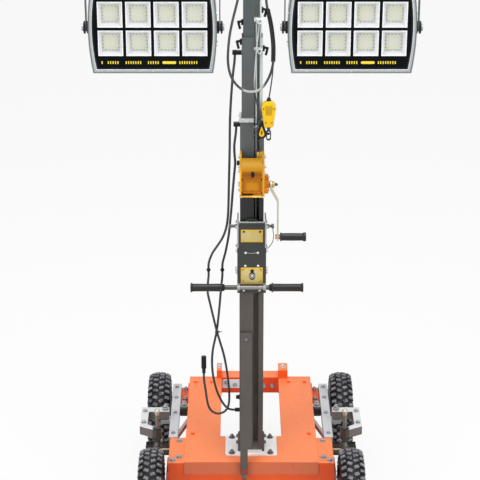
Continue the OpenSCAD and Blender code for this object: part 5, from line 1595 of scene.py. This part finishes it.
class TOWER_OT_winch_fittings(bpy.types.Operator):
    """Horn, cover panels, slots, bolts and crank nuts of the hand winch"""
    bl_idname = "tower.winch_fittings"
    bl_label = "Winch fittings"

    TOP_TRIM, FOOT_TRIM = 0.02, 0.012      # how much the frame is shortened at each end
    TOP_BAND, FOOT_BAND = 0.029, 0.022      # the bands of the frame that take it up
    RATCHET_X = 0.0455                      # the ratchet's cover begins here and keeps its foot
    FRONT_LEFT, FRONT_RIGHT = -0.0385, 0.0365    # sides of the cover's front

    def execute(self, context):
        low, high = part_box("winch_frame")
        self.folded_frame(low, high)
        self.horn(high.z - self.TOP_TRIM)
        self.panels(low)
        self.bolts(low)
        self.crank_nuts()
        return {"FINISHED"}

    def folded_frame(self, low, high):
        """The built frame, shortened at its top and drawn up at its foot."""
        piece = bpy.data.objects.new("winch_body", frame["nodes"]["winch_frame"].data.copy())
        bpy.context.collection.objects.link(piece)
        choose(piece)
        if piece.data.has_custom_normals:
            bpy.ops.mesh.customdata_custom_splitnormals_clear()
        edit_mesh()
        select_all()
        bpy.ops.mesh.remove_doubles(threshold=0.00001)
        leave_mesh()
        for point in piece.data.vertices:
            above = point.co.z - (high.z - self.TOP_BAND)
            below = low.z + self.FOOT_BAND - point.co.z
            point.co.z -= max(0.0, above) * self.TOP_TRIM / self.TOP_BAND
            if point.co.x < self.RATCHET_X:
                point.co.z += max(0.0, below) * self.FOOT_TRIM / self.FOOT_BAND
        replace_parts(settle(piece, "winch_body", "mast", "winch", 30), "winch_frame")

    def horn(self, top):
        """Flange beside the rope with two rounded tips, and the narrow tip on the left plate."""
        def tip(x, z, radius):
            angles = [math.pi * i / 10 for i in range(11)]
            return [(x + radius * math.cos(a), z + radius * math.sin(a)) for a in angles]
        rise = top - 0.008
        outline = [(0.0165, top - 0.062), (0.0405, top - 0.062)]
        outline += tip(0.0345, rise, 0.006) + [(0.0285, rise - 0.003)] + tip(0.0225, rise - 0.001, 0.006)
        flange = cut_plate(outline, "Y", -0.232, -0.2225, 0.0016)
        left = cut_plate([(-0.0455, top - 0.05), (-0.0375, top - 0.05)] + tip(-0.0415, rise + 0.003, 0.004),
                         "Y", -0.246, -0.2225, 0.0014)
        settle(joined(flange, left), "winch_horns", "mast", "winch_highlight")

    def panels(self, low):
        """Raised frame, shutter and slot on the cover's front, and the lip of its base."""
        front, x0, x1, wide = low.y, self.FRONT_LEFT, self.FRONT_RIGHT, 0.006
        z0, z1 = low.z + 0.026, low.z + 0.08
        bars = ((x0, z1 - wide, x1, z1), (x0, z0, x1, z0 + wide), (x0, z0, x0 + wide, z1),
                (x1 - wide, z0, x1, z1))
        rails = [block((left, front + 0.0005, bottom), (right, front + 0.0055, top), 0.0012)
                 for left, bottom, right, top in bars]
        settle(joined(*rails), "winch_panel_frame", "mast", "winch")
        shutter = block((0.004, front + 0.003, low.z + 0.015), (x1, front + 0.007, low.z + 0.0265), 0.001)
        settle(shutter, "winch_shutter", "mast", "winch")
        lip = block((-0.0462, front - 0.002, low.z + 0.0112), (0.0462, front + 0.012, low.z + 0.0166),
                    0.0014)
        settle(lip, "winch_base_lip", "mast", "winch_highlight")
        mark = cut_plate(oval(0.002, low.z + 0.098, 0.0066, 0.0112), "Y", front - 0.0006, front + 0.006,
                         0.0004)
        settle(mark, "winch_slot", "mast", "fitting")

    def bolts(self, low):
        """Bolts through both plates, screws of the base lip and the three screws of the ratchet's cover."""
        spots = [(low.x, y, low.z + z) for y, z in
                 ((-0.3, 0.104), (-0.24, 0.139), (-0.305, 0.034), (-0.237, 0.034), (-0.288, 0.048),
                  (-0.272, 0.111))]
        fasten(hex_bolt(0.007), stood(spots, LEFT), "winch_side_bolts", "mast")
        spots = [(x, low.y - 0.002, low.z + 0.0139) for x in (-0.0385, 0.0385)]
        fasten(cap_screw(0.0036), stood(spots, FRONT), "winch_base_screws", "mast")
        spots = [(0.045, y, low.z + z) for y, z in
                 ((-0.312, 0.098), (-0.24, 0.139), (-0.312, 0.028), (-0.237, 0.034), (-0.272, 0.111))]
        fasten(hex_bolt(0.007), stood(spots, RIGHT), "winch_right_bolts", "mast")
        axis, circle = crank_axis(), 0.028
        spots = [(0.059, axis.y + circle * math.cos(a), axis.z + circle * math.sin(a))
                 for a in (math.radians(90 + 120 * i) for i in range(3))]
        fasten(cap_screw(0.0046), stood(spots, RIGHT), "ratchet_screws", "mast", "dull_zinc")

    def crank_nuts(self):
        """Nut and button on the crank's shaft, and the two nuts that hold its grip."""
        axis = crank_axis()
        nut = plain_nut(0.0125, 0.0085, (0.0732, axis.y, axis.z), RIGHT)
        settle(nut, "crank_nut", "crank", "yellow_zinc")
        button = turned([(0, 0.011), (0.0036, 0.0105), (0.005, 0.009), (0.005, 0.001), (0.0072, 0.001),
                         (0.0072, 0), (0, 0)], (0.0832, axis.y, axis.z), RIGHT, 24)
        settle(button, "crank_end", "crank", "black_steel")
        grip, end = middle("crank_grip"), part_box("crank_grip")[0].x
        parts = [plain_nut(0.0105, 0.0042, (end - 0.0054, grip.y, grip.z), RIGHT),
                 plain_nut(0.0095, 0.006, (end - 0.0122, grip.y, grip.z), LEFT)]
        settle(joined(*parts), "grip_nuts", "crank", "yellow_zinc")


def crank_axis():
    """A point on the crank's axis, which is as far below the arm's top as its hub's radius."""
    low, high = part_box("crank_arm")
    return Vector((0.08, (low.y + high.y) / 2, high.z - 0.015))


# ---------------- mast fittings

class TOWER_OT_mast_fittings(bpy.types.Operator):
    """Clips, shackles, cable tie, gland nuts and bolts along the mast"""
    bl_idname = "tower.mast_fittings"
    bl_label = "Mast fittings"

    def execute(self, context):
        self.clips()
        self.shackles()
        self.cable_tie()
        self.head()
        self.collar_bolts()
        return {"FINISHED"}

    def clip(self, x, y, z, side, tail):
        """Moulded cable clip: a foot on the stage, an arm round the lead and the strap's loose tail."""
        def bent(points, radius):
            return tube_round([(x + side * out, y + back, z + up) for out, back, up in points], radius)
        left, right = sorted((x, x + side * 0.007))
        foot = block((left, y - 0.01, z - 0.01), (right, y + 0.01, z + 0.01), 0.002)
        arm = bent([(0.004, -0.005, 0.004), (0.012, -0.0085, 0.003), (0.0185, -0.0035, 0.001),
                    (0.017, 0.0055, -0.001)], 0.0048)
        if not tail:
            return joined(foot, arm)
        strap = bent([(0.0165, -0.006, 0.002), (0.015, -0.008, -0.008), (0.0125, -0.008, -0.016),
                      (0.011, -0.007, -0.023)], 0.0046)
        return joined(foot, arm, strap)

    def clips(self):
        """Clips on the three stages, set against the flat sides of each."""
        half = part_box("outer_stage")[1].x
        for name, body, reach, tail, spots in (
                ("inner_clips", "inner", half - 0.011, True, ((-1, -0.19, 2.016), (1, -0.19, 2.06))),
                ("middle_clips", "middle", half - 0.006, True, ((-1, -0.196, 1.946), (1, -0.196, 1.922))),
                ("outer_clips", "mast", half, False, ((1, -0.196, 1.602),))):
            made = [self.clip(side * reach, y, z, side, tail) for side, y, z in spots]
            settle(joined(*made), name, body, "fitting")

    def shackles(self):
        """Bow shackles that hold the hoist ropes to the stages."""
        for body in ("middle", "inner"):
            low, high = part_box(f"{body}_rope")
            x, y, z = low.x + 0.02, low.y - 0.001, high.z - 0.006
            bow = tube_round([(x + across, y + back, z + up) for across, back, up in
                              ((-0.006, 0, 0), (-0.0085, -0.002, -0.009), (0, -0.003, -0.0175),
                               (0.0085, -0.002, -0.009), (0.006, 0, 0))], 0.0022)
            pin = turned([(0, 0), (0.0042, 0), (0.0042, 0.003), (0.0024, 0.0035), (0.0024, 0.02),
                          (0.0036, 0.0205), (0.0036, 0.0235), (0, 0.0235)], (x - 0.012, y, z), RIGHT, 20)
            settle(joined(bow, pin), f"{body}_shackle", body, "galvanised")

    def cable_tie(self):
        """Tie round the two lower leads where they cross."""
        x, y, z = -0.134, -0.1335, 0.78
        loop = tube_round([(x + 0.0068 * math.cos(a), y + 0.0118 * math.sin(a), z)
                           for a in (math.tau * i / 14 for i in range(14))], 0.0012, closed=True)
        head = block((x + 0.005, y - 0.0035, z - 0.0025), (x + 0.0105, y + 0.0035, z + 0.0025), 0.0006)
        tail = block((x + 0.009, y - 0.0006, z - 0.0012), (x + 0.021, y + 0.0006, z + 0.0012), 0.0003)
        settle(joined(loop, head, tail), "cable_tie", "chassis", "fitting")

    def head(self):
        """Bolts of the cross bar and the yokes, and the gland nuts at the lamp lead's two ends."""
        spots = [(x, -0.197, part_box("mast_head")[1].z - 0.02) for x in (-0.026, 0.026)]
        fasten(hex_bolt(0.01), stood(spots, FRONT), "head_bolts", "inner")
        ends = (LAMP_LEAD[0], LAMP_LEAD[-1])
        nuts = [plain_nut(0.0108, 0.007, end, UP) for end in ends]
        nuts += [plain_nut(0.0098, 0.005, (x, y, z + 0.0105), UP) for x, y, z in ends]
        settle(joined(*nuts), "gland_nuts", "inner", "fitting")
        for name in SIDES:
            low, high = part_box(f"yoke_{name}")
            spots = [((low.x + high.x) / 2 + offset, -0.18, high.z - 0.005) for offset in (-0.035, 0.035)]
            fasten(hex_bolt(0.01), stood(spots, DOWN), f"yoke_bolts_{name}", "inner")

    def collar_bolts(self):
        low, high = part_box("outer_collar")
        z = low.z + 0.006
        places = [placed((side * high.x, y, z), (side, 0, 0)) for side in (-1, 1) for y in (-0.205, -0.15)]
        places += stood([(x, low.y, z) for x in (-0.034, -0.01)], FRONT)
        fasten(cap_screw(0.0036), places, "collar_screws", "mast")


# ---------------- floodlight trim

class TOWER_OT_floodlight_trim(bpy.types.Operator):
    """Rounded rails round the floodlights' frames and the screws on their sides"""
    bl_idname = "tower.floodlight_trim"
    bl_label = "Floodlight trim"

    def execute(self, context):
        for side in SIDES:
            low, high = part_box(f"lamp_housing_{side}")
            centre, half_h, face = (low + high) / 2, (high.z - low.z) / 2, low.y - 0.0002
            # the rail takes the silver with painted shade, the bead the silver with painted highlight
            for name, margin, radius, finish in (("frame_rail", 0.0024, 0.0024, "silver_painted_shade"),
                                                 ("frame_bead", 0.0122, 0.0015, "silver_painted_highlight")):
                outline = self.with_corners(barrel(HOUSING_REACH - margin, half_h - margin, SIDE_BULGE, 12))
                rail = tube_round([(centre.x + x, face, centre.z + z) for x, z in outline], radius,
                                  closed=True)
                settle(rail, f"{name}_{side}", f"floodlight_{side}", finish, 60)
            up = 0.057
            reach = HOUSING_REACH - SIDE_BULGE * (up / half_h) ** 2 - 0.0004
            places = [placed((centre.x + hand * reach, y, centre.z + z), (hand, 0, 0))
                      for hand in (-1, 1) for y, z in ((-0.222, -up), (-0.222, up), (-0.172, -up))]
            fasten(cap_screw(0.0042), places, f"side_screws_{side}", f"floodlight_{side}")
        return {"FINISHED"}

    def with_corners(self, outline, near=0.006):
        """Adds a point on each side of every sharp corner, so that the bend stays in the corner."""
        made = []
        for i, point in enumerate(outline):
            before, here, after = (Vector(outline[(i + step) % len(outline)]) for step in (-1, 0, 1))
            if (here - before).angle(after - here) > 0.5:
                made += [here + (before - here).normalized() * near, here,
                         here + (after - here).normalized() * near]
            else:
                made.append(here)
        return [tuple(point) for point in made]


# ---------------- panel and registration

STEPS = ("stage", "finish_frame", "leads", "tyres", "floodlights", "floodlight_trim", "arrester",
         "mast_fittings", "winch_fittings", "bracket_fittings", "push_bar_fittings", "chassis_fittings",
         "wheel_fittings", "stabiliser_fittings")


class TOWER_PT_looks(bpy.types.Panel):
    """Lists the steps that finish the tower"""
    bl_idname = "TOWER_PT_looks"
    bl_label = "Light Tower"
    bl_space_type = "VIEW_3D"
    bl_region_type = "UI"
    bl_category = "Light Tower"

    def draw(self, context):
        for step in STEPS:
            self.layout.operator("tower." + step)


CLASSES = (TowerColours, TowerSizes, StageSettings, TOWER_OT_stage, TOWER_OT_finish_frame, TOWER_OT_leads,
           TOWER_OT_tyres, TOWER_OT_floodlights, TOWER_OT_floodlight_trim, TOWER_OT_arrester,
           TOWER_OT_mast_fittings, TOWER_OT_winch_fittings, TOWER_OT_bracket_fittings,
           TOWER_OT_push_bar_fittings, TOWER_OT_chassis_fittings, TOWER_OT_wheel_fittings,
           TOWER_OT_stabiliser_fittings, TOWER_PT_looks)


def register():
    for made in CLASSES:
        bpy.utils.register_class(made)
    bpy.types.Scene.tower_colours = bpy.props.PointerProperty(type=TowerColours)
    bpy.types.Scene.tower_sizes = bpy.props.PointerProperty(type=TowerSizes)
    bpy.types.Scene.tower_stage = bpy.props.PointerProperty(type=StageSettings)


def unregister():
    del bpy.types.Scene.tower_stage
    del bpy.types.Scene.tower_sizes
    del bpy.types.Scene.tower_colours
    for made in reversed(CLASSES):
        bpy.utils.unregister_class(made)


def main():
    register()
    for step in STEPS:
        getattr(bpy.ops.tower, step)()


if __name__ == "__main__":
    main()
